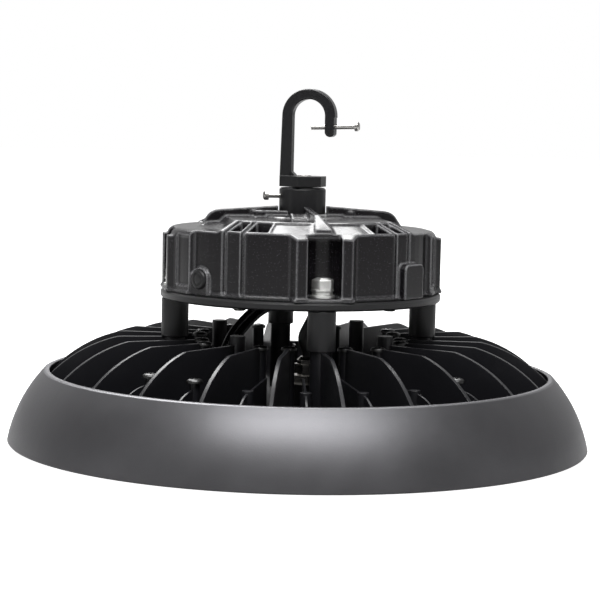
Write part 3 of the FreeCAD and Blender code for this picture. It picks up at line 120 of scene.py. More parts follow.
class Recipe:
    """One material, built up from expressions."""

    def __init__(self, name: str) -> None:
        """Start a material with an empty Principled shader."""
        self.material = bpy.data.materials.new(name)
        self.material.use_nodes = True
        tree = self.material.node_tree
        self.nodes = tree.nodes
        self.links = tree.links
        self.shader = self.nodes["Principled BSDF"]
        self._place: Optional[Sock] = None

    def node(self, kind: str, settings: dict, values: dict, out: Union[int, str] = 0) -> Sock:
        """Add a node of any kind.

        Args:
            kind: the node's type.
            settings: its attributes, set first; "stops" gives a ramp's stops.
            values: its input sockets by name or number, each a value or a Sock.
            out: the output that is wanted, by name or number.

        Returns:
            That output.
        """
        made = self.nodes.new(kind)
        for key, value in settings.items():
            if key == "stops":
                self._stops(made.color_ramp, value)
            else:
                setattr(made, key, value)
        for key, value in values.items():
            self._feed(made.inputs[key], value)
        return Sock(self, made.outputs[out])

    @staticmethod
    def _stops(ramp: bpy.types.ColorRamp, stops: Sequence[tuple[float, Colour]]) -> None:
        """Give a ramp its stops.

        Args:
            ramp: the node's ramp, with its two first stops.
            stops: place and colour of each, from low to high.
        """
        while len(ramp.elements) < len(stops):
            ramp.elements.new(0.5)
        for element, (place, colour) in zip(ramp.elements, stops):
            element.position = place
            element.color = (*colour, 1.0)

    def _feed(self, socket: bpy.types.NodeSocket, value: Value) -> None:
        """Link a Sock to an input, or set its value."""
        if isinstance(value, Sock):
            self.links.new(value.out, socket)
        elif isinstance(value, (tuple, list)) and len(value) == 3 and socket.type == "RGBA":
            socket.default_value = (*value, 1.0)
        else:
            socket.default_value = value

    def put(self, name: str, value: Value) -> None:
        """Feed one of the Principled shader's own sockets."""
        self._feed(self.shader.inputs[name], value)

    def place(self) -> Sock:
        """Place on the piece, in metres."""
        if self._place is None:
            self._place = self.node("ShaderNodeTexCoord", {}, {}, "Object")
        return self._place

    def noise(self, scale: float, detail: float = 2.0, roughness: float = 0.5,
              vector: Optional[Sock] = None) -> Sock:
        """Soft noise.

        Args:
            scale: cells per metre.
            detail: octaves.
            roughness: weight of the finer octaves.
            vector: place to read instead of the piece's own.

        Returns:
            The noise, about 0.5 on average.
        """
        return self.node("ShaderNodeTexNoise", {},
                         {"Vector": vector or self.place(), "Scale": scale,
                          "Detail": detail, "Roughness": roughness})

    def specks(self, scale: float, share: float) -> Sock:
        """Sparse round specks.

        Args:
            scale: cells per metre.
            share: size of a speck within its cell.

        Returns:
            One in a speck, fading to nothing.
        """
        distance = self.node("ShaderNodeTexVoronoi", {},
                             {"Vector": self.place(), "Scale": scale, "Randomness": 1.0})
        return (1.0 - distance * (1.0 / share)).held()

    def mix(self, share: Value, low: Value, high: Value) -> Sock:
        """Blend of two colours."""
        return self.node("ShaderNodeMix", {"data_type": "RGBA"}, {0: share, 6: low, 7: high}, 2)

    def stretched(self, scale: Colour) -> Sock:
        """The piece's place, stretched by a factor on each axis."""
        return self.node("ShaderNodeMapping", {}, {"Vector": self.place(), "Scale": scale})

    def broken_edges(self, radius: float) -> Sock:
        """Normal that rounds sharp edges over a radius."""
        return self.node("ShaderNodeBevel", {"samples": 4}, {"Radius": radius})

    def edge_mask(self, rounded: Sock, gain: float) -> Sock:
        """Share by which a place lies on a rounded edge.

        Args:
            rounded: the normal from broken_edges.
            gain: how quickly the mask fills.

        Returns:
            Nothing on faces, up to one along edges.
        """
        flat = self.node("ShaderNodeNewGeometry", {}, {}, "True Normal")
        along = self.node("ShaderNodeVectorMath", {"operation": "DOT_PRODUCT"},
                          {0: rounded, 1: flat}, "Value")
        return ((1.0 - along) * gain).held()

    def bump(self, height: Value, distance: float, strength: float = 1.0,
             normal: Optional[Sock] = None) -> Sock:
        """Bumped normal.

        Args:
            height: height from nothing to one.
            distance: depth of that height, in metres.
            strength: share of the effect.
            normal: normal to start from.

        Returns:
            The normal.
        """
        values: dict = {"Height": height, "Distance": distance, "Strength": strength}
        if normal is not None:
            values["Normal"] = normal
        return self.node("ShaderNodeBump", {}, values, "Normal")


# ---------------------------------------------------------------- finishes
@dataclass(frozen=True)
class Coating:
    """Paint or powder on metal, with a fine peel, faint clouds and a lighter colour painted along
    its edges as a highlight.
    """

    name: str
    colour: Colour
    cloud: Colour
    # edge: lighter colour painted along edges as a painted highlight line
    edge: Colour
    roughness: float
    peel_scale: float = 900.0
    peel_depth: float = 0.00004
    edge_radius: float = 0.0007
    edge_gain: float = 3.0
    speck: float = 0.0
    flake: float = 0.0
    gloss: float = 0.5

    def make(self) -> bpy.types.Material:
        """Build the material.

        Returns:
            The finished material.
        """
        recipe = Recipe(self.name)
        clouds = recipe.noise(22.0, 4.0, 0.6)
        fine = recipe.noise(self.peel_scale, 3.0, 0.55)
        rounded = recipe.broken_edges(self.edge_radius)
        edges = recipe.edge_mask(rounded, self.edge_gain)
        base = recipe.mix(clouds, self.colour, self.cloud)
        # painted highlight: edges take the lighter edge colour, broken up by the peel
        base = recipe.mix(edges * (0.45 + 0.9 * fine).held(), base, self.edge)
        if self.speck:
            base = recipe.mix(recipe.specks(900.0, 0.16) * self.speck, base,
                              (0.30, 0.30, 0.33))
        recipe.put("Base Color", base)
        recipe.put("Roughness", (self.roughness + 0.16 * (clouds - 0.5)
                                 + 0.10 * (fine - 0.5)).held())
        recipe.put("Normal", recipe.bump(fine, self.peel_depth, 1.0, rounded))
        recipe.put("Metallic", self.flake)
        recipe.put("Specular IOR Level", self.gloss)
        return recipe.material


@dataclass(frozen=True)
class BareMetal:
    """Plated or bare metal with fine turning marks and faint stains."""

    name: str
    colour: Colour
    stain: Colour
    roughness: float
    marks: Colour = (400.0, 400.0, 4200.0)
    mark_depth: float = 0.000012
    edge_radius: float = 0.0003

    def make(self) -> bpy.types.Material:
        """Build the material.

        Returns:
            The finished material.
        """
        recipe = Recipe(self.name)
        marks = recipe.noise(1.0, 2.0, 0.6, recipe.stretched(self.marks))
        stains = recipe.noise(260.0, 3.0, 0.6)
        rounded = recipe.broken_edges(self.edge_radius)
        recipe.put("Base Color", recipe.mix((stains * 1.6 - 0.5).held(), self.colour, self.stain))
        recipe.put("Metallic", 1.0)
        recipe.put("Roughness", (self.roughness + 0.22 * (stains - 0.5)
                                 + 0.12 * (marks - 0.5)).held())
        recipe.put("Normal", recipe.bump(marks, self.mark_depth, 1.0, rounded))
        return recipe.material


@dataclass(frozen=True)
class Moulded:
    """Moulded plastic or rubber: fine matt grain, dust and softened edges."""

    name: str
    colour: Colour
    dust: Colour
    roughness: float
    grain_scale: float = 1600.0
    grain_depth: float = 0.00003
    edge_radius: float = 0.0004

    def make(self) -> bpy.types.Material:
        """Build the material.

        Returns:
            The finished material.
        """
        recipe = Recipe(self.name)
        grain = recipe.noise(self.grain_scale, 2.0, 0.5)
        patches = recipe.noise(60.0, 4.0, 0.65)
        rounded = recipe.broken_edges(self.edge_radius)
        recipe.put("Base Color", recipe.mix((patches * 1.8 - 0.6).held(), self.colour, self.dust))
        recipe.put("Roughness", (self.roughness + 0.2 * (patches - 0.5)).held())
        recipe.put("Normal", recipe.bump(grain, self.grain_depth, 1.0, rounded))
        return recipe.material


@dataclass(frozen=True)
class ClearCast:
    """Clear moulded lens sheet with a faint waviness."""

    name: str
    tint: Colour
    roughness: float

    def make(self) -> bpy.types.Material:
        """Build the material.

        Returns:
            The finished material.
        """
        recipe = Recipe(self.name)
        waves = recipe.noise(90.0, 2.0, 0.5)
        recipe.put("Base Color", recipe.mix(waves, self.tint, (1.0, 1.0, 1.0)))
        recipe.put("Roughness", (self.roughness + 0.04 * waves).held())
        recipe.put("Transmission Weight", 1.0)
        recipe.put("IOR", 1.49)
        recipe.put("Normal", recipe.bump(waves, 0.00012))
        return recipe.material


@dataclass(frozen=True)
class BoardMask:
    """White solder mask with faint raised tracks between the chips."""

    name: str
    colour: Colour
    track: Colour

    def make(self) -> bpy.types.Material:
        """Build the material.

        Returns:
            The finished material.
        """
        recipe = Recipe(self.name)
        cells = recipe.node("ShaderNodeTexVoronoi", {"feature": "DISTANCE_TO_EDGE"},
                            {"Vector": recipe.place(), "Scale": 62.0, "Randomness": 0.35})
        tracks = 1.0 - (cells * 22.0).held()
        grain = recipe.noise(1800.0, 2.0)
        recipe.put("Base Color", recipe.mix(tracks * 0.55, self.colour, self.track))
        recipe.put("Roughness", (0.34 + 0.2 * grain).held())
        recipe.put("Normal", recipe.bump(tracks + 0.2 * grain, 0.00008))
        return recipe.material


@dataclass(frozen=True)
class Phosphor:
    """Yellow phosphor window of a chip inside its white case."""

    name: str
    window: Colour
    case: Colour

    def make(self) -> bpy.types.Material:
        """Build the material.

        Returns:
            The finished material.
        """
        recipe = Recipe(self.name)
        grain = recipe.noise(2600.0, 3.0, 0.7)
        recipe.put("Base Color", recipe.mix((grain * 1.5 - 0.35).held(), self.window, self.case))
        recipe.put("Roughness", (0.3 + 0.3 * grain).held())
        recipe.put("Normal", recipe.bump(grain, 0.00004))
        return recipe.material


class Finish(Enum):
    """Finishes of the lamp, by the record's material slot."""

    # each coating's third colour is a painted highlight laid along its edges
    ring_graphite = Coating("ring_graphite", (0.096, 0.095, 0.100), (0.158, 0.157, 0.166),
                            (0.16, 0.16, 0.168), 0.42, 1100.0, 0.00003, 0.0007, 2.0,
                            speck=0.22, flake=0.85)
    sink_black = Coating("sink_black", (0.009, 0.009, 0.011), (0.015, 0.015, 0.018),
                         (0.03, 0.03, 0.033), 0.36, 800.0, 0.00004, 0.0006, 3.0)
    post_black = Coating("post_black", (0.007, 0.007, 0.008), (0.011, 0.011, 0.012),
                         (0.03, 0.03, 0.03), 0.34, 1500.0, 0.00002, 0.0005, 2.0)
    plate_black = Coating("plate_black", (0.010, 0.010, 0.011), (0.016, 0.016, 0.017),
                          (0.08, 0.08, 0.08), 0.34, 900.0, 0.00004, 0.0008, 3.0)
    cover_black = Coating("cover_black", (0.006, 0.005, 0.006), (0.009, 0.008, 0.010),
                          (0.34, 0.34, 0.35), 0.22, 900.0, 0.000012, 0.0014, 9.0, 0.8,
                          gloss=0.42)
    hook_black = Coating("hook_black", (0.006, 0.006, 0.007), (0.010, 0.010, 0.011),
                         (0.05, 0.05, 0.05), 0.30, 1000.0, 0.00003, 0.0008, 2.5)
    stainless = BareMetal("stainless", (0.62, 0.61, 0.59), (0.42, 0.41, 0.39), 0.24)
    smoked_zinc = BareMetal("smoked_zinc", (0.10, 0.10, 0.10), (0.05, 0.05, 0.05), 0.38)
    zinc = BareMetal("zinc", (0.70, 0.70, 0.69), (0.46, 0.46, 0.45), 0.26)
    bright_zinc = BareMetal("bright_zinc", (0.88, 0.88, 0.86), (0.60, 0.60, 0.59), 0.46)
    nickel = BareMetal("nickel", (0.66, 0.64, 0.60), (0.48, 0.46, 0.43), 0.18)
    nylon_black = Moulded("nylon_black", (0.010, 0.010, 0.011), (0.022, 0.022, 0.022), 0.45)
    rubber_black = Moulded("rubber_black", (0.008, 0.008, 0.008), (0.018, 0.018, 0.018), 0.62)
    lead_black = Moulded("lead_black", (0.007, 0.007, 0.008), (0.014, 0.014, 0.014), 0.30,
                         2400.0, 0.00001)
    module_aluminium = BareMetal("module_aluminium", (0.55, 0.55, 0.56), (0.42, 0.42, 0.43),
                                 0.40, (60.0, 2600.0, 2600.0))
    board_white = BoardMask("board_white", (0.80, 0.81, 0.80), (0.62, 0.64, 0.62))
    chip_yellow = Phosphor("chip_yellow", (0.88, 0.72, 0.18), (0.92, 0.84, 0.48))
    lens_clear = ClearCast("lens_clear", (0.94, 0.97, 0.98), 0.03)


class Shelf:
    """Keeps each finish's material, made once."""

    def __init__(self) -> None:
        """Start with nothing made."""
        self._made: dict[str, bpy.types.Material] = {}

    def take(self, finish: Finish) -> bpy.types.Material:
        """Material of a finish.

        Args:
            finish: the finish that is wanted.

        Returns:
            Its material, built at the first call.
        """
        if finish.name not in self._made:
            self._made[finish.name] = finish.value.make()
        return self._made[finish.name]

    def dress(self, piece: bpy.types.Object, finish: Finish) -> None:
        """Give a piece one finish all over.

        Args:
            piece: a CAD node or a new piece.
            finish: its finish.
        """
        material = self.take(finish)
        if not piece.material_slots:
            piece.data.materials.append(material)
        for slot in piece.material_slots:
            slot.material = material

    def dress_nodes(self, finish: Finish, *names: str) -> None:
        """Give CAD nodes a finish and say so in the log.

        Args:
            finish: their finish.
            names: the nodes.
        """
        for name in names:
            self.dress(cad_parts[name], finish)
            LOG.info("%s: %s", name, finish.name)


# ---------------------------------------------------------------- modelling bench
class Bench:
    """Modelling steps on one mesh at a time, made with Blender's own tools."""

    @staticmethod
    def clear() -> None:
        """Leave edit mode and deselect everything."""
        if bpy.context.object and bpy.context.object.mode != "OBJECT":
            bpy.ops.object.mode_set(mode="OBJECT")
        bpy.ops.object.select_all(action="DESELECT")

    @staticmethod
    def take(piece: bpy.types.Object) -> None:
        """Make one object the only selected one."""
        Bench.clear()
        piece.hide_viewport = False
        piece.select_set(True)
        bpy.context.view_layer.objects.active = piece

    @staticmethod
    def cylinder(name: str, radius: float, low: float, high: float,
                 sides: int = 32) -> bpy.types.Object:
        """Upright cylinder on the Z axis as a start.

        Args:
            name: the object's name.
            radius: its radius.
            low: its lower level.
            high: its upper level.
            sides: faces round it.

        Returns:
            The new object, with its place in its mesh.
        """
        Bench.clear()
        bpy.ops.mesh.primitive_cylinder_add(vertices=sides, radius=radius, depth=high - low,
                                            location=(0, 0, (low + high) / 2))
        piece = bpy.context.object
        piece.name = name
        Bench.settle(piece)
        return piece

    @staticmethod
    def box(name: str, low: Sequence[float], high: Sequence[float]) -> bpy.types.Object:
        """Box between two corners as a start."""
        Bench.clear()
        centre = [(a + b) / 2 for a, b in zip(low, high)]
        bpy.ops.mesh.primitive_cube_add(size=1.0, location=centre,
                                        scale=[b - a for a, b in zip(low, high)])
        piece = bpy.context.object
        piece.name = name
        Bench.settle(piece)
        return piece

    @staticmethod
    def prism(name: str, outline: Sequence[Vector], rise: Vector) -> bpy.types.Object:
        """Closed outline of any corners, extruded along a vector.

        Args:
            name: the object's name.
            outline: the corners in order, in millimetres.
            rise: the extrusion, in millimetres.

        Returns:
            The new closed object.
        """
        Bench.clear()
        bpy.ops.mesh.primitive_circle_add(vertices=len(outline), radius=1.0, fill_type="NGON")
        piece = bpy.context.object
        piece.name = name
        for vertex, corner in zip(piece.data.vertices, outline):
            vertex.co = corner * MM
        Bench.take(piece)
        bpy.ops.object.mode_set(mode="EDIT")
        bpy.ops.mesh.select_all(action="SELECT")
        bpy.ops.mesh.extrude_region_move(TRANSFORM_OT_translate={"value": tuple(rise * MM)})
        bpy.ops.mesh.select_all(action="SELECT")
        bpy.ops.mesh.normals_make_consistent(inside=False)
        bpy.ops.object.mode_set(mode="OBJECT")
        return piece

    @staticmethod
    def turn(piece: bpy.types.Object, angle: float) -> bpy.types.Object:
        """Turn a piece's mesh about the lamp's axis."""
        piece.data.transform(Matrix.Rotation(math.radians(angle), 4, "Z"))
        return piece

    @staticmethod
    def keep_common(piece: bpy.types.Object, other: bpy.types.Object) -> None:
        """Keep only what a piece shares with another, which is deleted."""
        cut = piece.modifiers.new("common", "BOOLEAN")
        cut.operation = "INTERSECT"
        cut.solver = "EXACT"
        cut.object = other
        Bench.take(piece)
        bpy.ops.object.modifier_apply(modifier=cut.name)
        bpy.data.objects.remove(other)

    @staticmethod
    def cast(piece: bpy.types.Object, grid: float, softening: int, limit: int) -> None:
        """Melt joined closed solids into one casting with softened edges.

        Args:
            piece: the joined solids.
            grid: cell of the remesh, in metres.
            softening: passes of smoothing.
            limit: most triangles that are kept.
        """
        melt = piece.modifiers.new("melt", "REMESH")
        melt.mode = "VOXEL"
        melt.voxel_size = grid
        melt.use_smooth_shade = True
        Bench.take(piece)
        bpy.ops.object.modifier_apply(modifier=melt.name)
        soften = piece.modifiers.new("soften", "SMOOTH")
        soften.factor = 0.5
        soften.iterations = softening
        bpy.ops.object.modifier_apply(modifier=soften.name)
        triangles = 2 * len(piece.data.polygons)
        if triangles > limit:
            thin = piece.modifiers.new("thin", "DECIMATE")
            thin.ratio = limit / triangles
            bpy.ops.object.modifier_apply(modifier=thin.name)

    @staticmethod
    def settle(piece: bpy.types.Object) -> None:
        """Move an object's place, turn and size into its mesh."""
        Bench.take(piece)
        bpy.ops.object.transform_apply(location=True, rotation=True, scale=True)

    @staticmethod
    def pick_faces(piece: bpy.types.Object,
                   wanted: Callable[[bpy.types.MeshPolygon], bool]) -> None:
        """Enter edit mode with only some faces selected.

        Args:
            piece: the object.
            wanted: says whether a face is picked.
        """
        Bench.take(piece)
        bpy.ops.object.mode_set(mode="EDIT")
        bpy.ops.mesh.select_mode(type="FACE")
        bpy.ops.mesh.select_all(action="DESELECT")
        bpy.ops.object.mode_set(mode="OBJECT")
        for face in piece.data.polygons:
            face.select = wanted(face)
        bpy.ops.object.mode_set(mode="EDIT")

    @staticmethod
    def step_in(rings: Sequence[tuple[float, float]]) -> None:
        """Inset the selected face again and again, moving it each time.

        Args:
            rings: inset and rise of each step, in metres.
        """
        for inset, rise in rings:
            bpy.ops.mesh.inset(thickness=inset, depth=0.0)
            bpy.ops.transform.translate(value=(0.0, 0.0, rise))

    @staticmethod
    def carve(piece: bpy.types.Object, cutter: bpy.types.Object) -> None:
        """Take one object out of another and delete it."""
        cut = piece.modifiers.new("carve", "BOOLEAN")
        cut.operation = "DIFFERENCE"
        cut.solver = "EXACT"
        cut.object = cutter
        Bench.take(piece)
        bpy.ops.object.modifier_apply(modifier=cut.name)
        bpy.data.objects.remove(cutter)

    @staticmethod
    def bevel(piece: bpy.types.Object, width: float, segments: int = 2,
              angle: float = 30.0) -> None:
        """Round the sharp edges of a piece.

        Args:
            piece: the object.
            width: bevel width.
            segments: faces across the bevel.
            angle: least angle between faces that is rounded.
        """
        made = piece.modifiers.new("bevel", "BEVEL")
        made.width = width
        made.segments = segments
        made.limit_method = "ANGLE"
        made.angle_limit = math.radians(angle)
        Bench.take(piece)
        bpy.ops.object.modifier_apply(modifier=made.name)

    @staticmethod
    def copy_at(piece: bpy.types.Object, place: Matrix) -> bpy.types.Object:
        """Copy of a piece with its own mesh, moved by a matrix."""
        copy = piece.copy()
        copy.data = piece.data.copy()
        copy.data.transform(place)
        bpy.context.scene.collection.objects.link(copy)
        return copy

    @staticmethod
    def join(name: str, parts: Sequence[bpy.types.Object]) -> bpy.types.Object:
        """One object from several.

        Args:
            name: the joined object's name.
            parts: what it is made of.

        Returns:
            The joined object.
        """
        Bench.clear()
        for part in parts:
            part.select_set(True)
        bpy.context.view_layer.objects.active = parts[0]
        if len(parts) > 1:
            bpy.ops.object.join()
        piece = bpy.context.object
        piece.name = name
        return piece

    @staticmethod
    def smooth(piece: bpy.types.Object, angle: float = 35.0) -> None:
        """Shade a piece smooth, apart from its sharp edges."""
        Bench.take(piece)
        bpy.ops.object.shade_smooth_by_angle(angle=math.radians(angle))
        Bench.clear()

    @staticmethod
    def hand_over(piece: bpy.types.Object, slot: str, *nodes: str) -> None:
        """Put a finished piece on the lamp.

        Args:
            piece: the finished piece.
            slot: the record's slot of its finish; not used.
            nodes: CAD nodes that it stands for.
        """
        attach(piece, ROOT)
        if nodes:
            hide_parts(*nodes)
        LOG.info("%s: %d faces, for %s", piece.name, len(piece.data.polygons),
                 ", ".join(nodes) or "no node")


def solids_of(node: str) -> list[tuple[Vector, Vector]]:
    """Boxes of a node's separate solids.

    Args:
        node: the CAD node's name.

    Returns:
        Lowest and highest corner of each solid, ordered by angle about the axis.
    """
    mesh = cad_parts[node].data
    leader: dict[tuple, tuple] = {}

    def find(key: tuple) -> tuple:
        """Leader of a vertex's solid."""
        while leader[key] != key:
            leader[key] = leader[leader[key]]
            key = leader[key]
        return key

    keys = [tuple(round(c, 7) for c in v.co) for v in mesh.vertices]
    for key in keys:
        leader.setdefault(key, key)
    for edge in mesh.edges:
        a, b = find(keys[edge.vertices[0]]), find(keys[edge.vertices[1]])
        leader[a] = b
    groups: dict[tuple, list[tuple]] = {}
    for key in leader:
        groups.setdefault(find(key), []).append(key)
    boxes = [(Vector(map(min, zip(*points))), Vector(map(max, zip(*points))))
             for points in groups.values()]
    return sorted(boxes, key=lambda b: math.atan2((b[0] + b[1]).y, (b[0] + b[1]).x))


# ---------------------------------------------------------------- screws with a cross recess
@dataclass
class PanScrews:
    """Pan-head screws with a cross recess, one in each place of a CAD node."""

    node: str
    shank_radius: float
    finish: Finish
    recess_width: float = 0.0011
    sides: int = 24

    def head(self, low: float, top: float, radius: float) -> bpy.types.Object:
        """Model one domed head with its cross recess.

        Args:
            low: level of the head's seat.
            top: level of its crown.
            radius: radius of its rim.

        Returns:
            The head on the Z axis.
        """
        height = top - low
        piece = Bench.cylinder(self.node + "_head", radius, low, low + 0.45 * height,
                               self.sides)
        Bench.pick_faces(piece, lambda face: face.normal.z > 0.9)
        Bench.step_in([(0.10 * radius, 0.26 * height), (0.20 * radius, 0.17 * height),
                       (0.30 * radius, 0.12 * height)])
        bpy.ops.object.mode_set(mode="OBJECT")
        reach, half = 0.56 * radius, self.recess_width / 2
        for across, along in ((half, reach), (reach, half)):
            Bench.carve(piece, Bench.box("recess", (-across, -along, top - 0.55 * height),
                                         (across, along, top + height)))
        return piece

    def build(self, shelf: Shelf) -> bpy.types.Object:
        """Model, copy, place and dress the screws.

        Args:
            shelf: where the finish is taken from.

        Returns:
            The piece of all screws.
        """
        places = solids_of(self.node)
        low, high = places[0]
        radius = (high.x - low.x) / 2
        crown = high.z
        seat = crown - 0.0024
        head = self.head(seat, crown, radius)
        shank = Bench.cylinder(self.node + "_shank", self.shank_radius, low.z, seat, 12)
        one = Bench.join(self.node + "_one", [head, shank])
        copies = []
        for i, (corner_a, corner_b) in enumerate(places):
            middle = (corner_a + corner_b) / 2
            spot = Matrix.Translation((middle.x, middle.y, corner_b.z - crown))
            copies.append(Bench.copy_at(one, spot @ Matrix.Rotation(0.7 * i, 4, "Z")))
        bpy.data.objects.remove(one)
        piece = Bench.join(self.node + "_cross", copies)
        Bench.smooth(piece, 40.0)
        shelf.dress(piece, self.finish)
        Bench.hand_over(piece, "stainless", self.node)
        return piece


# ---------------------------------------------------------------- driver cover
def round_point(radius: float, angle: float, level: float = 0.0) -> Vector:
    """Point at a radius, an angle and a level, in millimetres."""
    turn = math.radians(angle)
    return Vector((radius * math.cos(turn), radius * math.sin(turn), level))


def steps(low: float, high: float, count: int) -> list[float]:
    """Evenly spaced values from low to high."""
    return [low + (high - low) * i / count for i in range(count + 1)]


@dataclass
class CoverCasting:
    """Die-cast driver cover with softened edges; its sizes are millimetres and degrees."""

    seat: float = 86.0
    rim: float = 121.6
    plateau: float = 127.7
    plateau_r: float = 59.0
    wall_r: float = 74.3
    lobe_r: float = 76.2
    waist_r: float = 73.0
    land_r: float = 77.9
    land_half: float = 15.25
    panel: tuple[float, float] = (14.0, 33.0)
    waist: tuple[float, float] = (28.0, 53.6)
    lobe: tuple[float, float] = (14.0, 26.8)
    grooves: tuple[tuple[float, float], ...] = ((34.9, 2.5), (44.0, 2.5))
    groove_depth: float = 3.6
    faces: tuple[float, float] = (4.8, 23.0)
    pockets: tuple[tuple[float, float], ...] = ((24.2, 33.2), (36.6, 42.4))
    pocket_floor: float = 119.0
    lobe_panel: tuple[float, float] = (15.4, 26.4)
    recess_half: float = 9.25
    recess_floor: float = 88.3
    recess_top: float = 119.8
    post_r: float = 71.5
    web_t: float = 3.0
    grid: float = 0.00058
    softening: int = 3
    limit: int = 185000

    def shoulder(self, radius: float) -> float:
        """Level of the front and rear shoulders at a radius."""
        slope = (self.plateau - self.rim) / (self.wall_r - self.plateau_r)
        return self.plateau - slope * (radius - self.plateau_r)

    def plan(self, proud: float, level: float) -> list[Vector]:
        """Outline of the cover: bolt lands, flat panels, waists and round lobes.

        Args:
            proud: how far the outline stands out from the wall.
            level: its level.

        Returns:
            The corners, anticlockwise.
        """
        first = [Vector((self.land_r + proud, self.land_half + proud, level))]
        first += [round_point(self.lobe_r + proud, a, level) for a in steps(*self.lobe, 4)]
        first += [round_point(self.waist_r + proud, a, level) for a in steps(*self.waist, 6)]
        first += [round_point(self.wall_r + proud, 90 - a, level) for a in self.panel[::-1]]
        first.append(Vector((self.land_half + proud, self.land_r + proud, level)))
        second = [Vector((-p.x, p.y, p.z)) for p in reversed(first)]
        return first + second + [Vector((-p.x, -p.y, p.z)) for p in first + second]

    def walls(self) -> bpy.types.Object:
        """The walls' prism up to the plateau."""
        return Bench.prism("walls", self.plan(0.0, self.seat),
                           Vector((0, 0, self.plateau + 1 - self.seat)))

    def lathe(self, radius: float, level: float,
              rings: Sequence[tuple[float, float]]) -> bpy.types.Object:
        """Turned body: a cylinder from the seat to a level, stepped in above it.

        Args:
            radius: its radius.
            level: the cylinder's top.
            rings: inset and rise of each step.

        Returns:
            The turned body.
        """
        piece = Bench.cylinder("turned", radius * MM, (self.seat - 3) * MM, level * MM, 128)
        Bench.pick_faces(piece, lambda face: face.normal.z > 0.9)
        Bench.step_in([(inset * MM, rise * MM) for inset, rise in rings])
        bpy.ops.object.mode_set(mode="OBJECT")
        return piece

    def band(self, span: tuple[float, float], radii: tuple[float, float],
             floors: tuple[float, float], height: float) -> bpy.types.Object:
        """Ring-shaped cutter between two angles.

        Args:
            span: its angles.
            radii: inner and outer radius.
            floors: level of its floor at each radius.
            height: its height.

        Returns:
            The cutter.
        """
        angles = steps(min(span), max(span), 4)
        outline = [round_point(radii[0], a, floors[0]) for a in angles]
        outline += [round_point(radii[1], a, floors[1]) for a in reversed(angles)]
        return Bench.prism("band", outline, Vector((0, 0, height)))

    def plate(self, outline: Sequence[tuple[float, float]], thickness: float,
              angle: float) -> bpy.types.Object:
        """Upright plate of a (radius, level) outline, standing on a radius."""
        corners = [Vector((r, -thickness / 2, z)) for r, z in outline]
        piece = Bench.prism("plate", corners, Vector((0, thickness, 0)))
        return Bench.turn(piece, angle)

    def groove(self, angle: float, width: float) -> bpy.types.Object:
        """Cutter of a groove down the wall and over the shoulder."""
        inner, reach, top = self.wall_r - self.groove_depth, self.land_r + 5, self.plateau + 6
        low = self.shoulder(inner) - 2.6
        return self.plate([(inner, self.seat + 1.5), (reach, self.seat + 1.5), (reach, top),
                           (self.plateau_r - 1, top), (self.plateau_r - 1, self.plateau - 2.6),
                           (inner, low)], width, angle)

    def relief(self, front: float) -> list[bpy.types.Object]:
        """Cutters of one front: grooves, shallow faces and pockets.

        Args:
            front: the angle that the front faces.

        Returns:
            The cutters.
        """
        cutters = []
        inner, outer = 60.5, 71.8
        for side in (-1, 1):
            cutters += [self.groove(front + side * a, width) for a, width in self.grooves]
            cutters.append(self.band((front + side * self.faces[0], front + side * self.faces[1]),
                                     (inner, outer), (self.shoulder(inner) - 0.9,
                                                      self.shoulder(outer) - 0.9), 12.0))
            for low, high in self.pockets:
                cutters.append(self.band((front + side * low, front + side * high),
                                         (inner, outer), (self.pocket_floor,) * 2, 14.0))
        return cutters

    def recess(self, angle: float) -> list[bpy.types.Object]:
        """Cutters of a bolt's recess: a U open outwards and, beyond the roof, its mouth."""
        half, reach = self.recess_half, self.post_r + 20
        back = [Vector((self.post_r - half * math.sin(math.radians(a)),
                        half * math.cos(math.radians(a)), self.recess_floor))
                for a in steps(0.0, 180.0, 12)]
        outline = [Vector((reach, -half, self.recess_floor)),
                   Vector((reach, half, self.recess_floor))] + back
        well = Bench.prism("well", outline, Vector((0, 0, self.recess_top - self.recess_floor)))
        edge = self.post_r + 0.8
        mouth = Bench.box("mouth", (edge * MM, -half * MM, self.recess_floor * MM),
                          (reach * MM, half * MM, (self.plateau + 6) * MM))
        return [Bench.turn(well, angle), Bench.turn(mouth, angle)]

    def block(self, angle: float, half: float, outer: float, top: float,
              corner: float) -> bpy.types.Object:
        """Block on the wall with rounded upper corners.

        Args:
            angle: where it stands.
            half: half its width.
            outer: radius of its face.
            top: level of its top.
            corner: radius of its upper corners.

        Returns:
            The block.
        """
        inner = self.waist_r - 5
        arcs = [(half - corner + corner * math.cos(math.radians(a)),
                 top - corner + corner * math.sin(math.radians(a)))
                for a in steps(0.0, 90.0, 5)]
        sides = [(half, self.seat)] + arcs
        sides += [(-y, z) for y, z in reversed(sides)]
        piece = Bench.prism("block", [Vector((inner, y, z)) for y, z in sides],
                            Vector((outer - inner, 0, 0)))
        return Bench.turn(piece, angle)

    def web(self, angle: float) -> bpy.types.Object:
        """Thin web from the collar to the shoulder, with a rounded bend."""
        low = self.rim - 3
        outline = [(13.9, low), (13.9, 134.1), (47.0, 131.7), (49.8, 131.2), (52.0, 130.2),
                   (53.8, 128.6), (58.0, 122.4), (58.0, low)]
        return self.plate(outline, self.web_t, angle)

    def ramp(self, angle: float) -> bpy.types.Object:
        """Flared foot of a front or rear web."""
        low, near, far = self.rim - 3, 48.0, self.post_r
        outline = [Vector((near, -1.5, low)), Vector((near, 1.5, low)),
                   Vector((far, 4.7, low)), Vector((far, -4.7, low))]
        piece = Bench.prism("ramp", outline, Vector((0, 0, 10.0)))
        for vertex in piece.data.vertices:
            if vertex.co.z > (low + 5) * MM:
                outer = vertex.co.x > 60 * MM
                vertex.co.z = (self.shoulder(far) + 2.0 if outer else 131.6) * MM
        return Bench.turn(piece, angle)

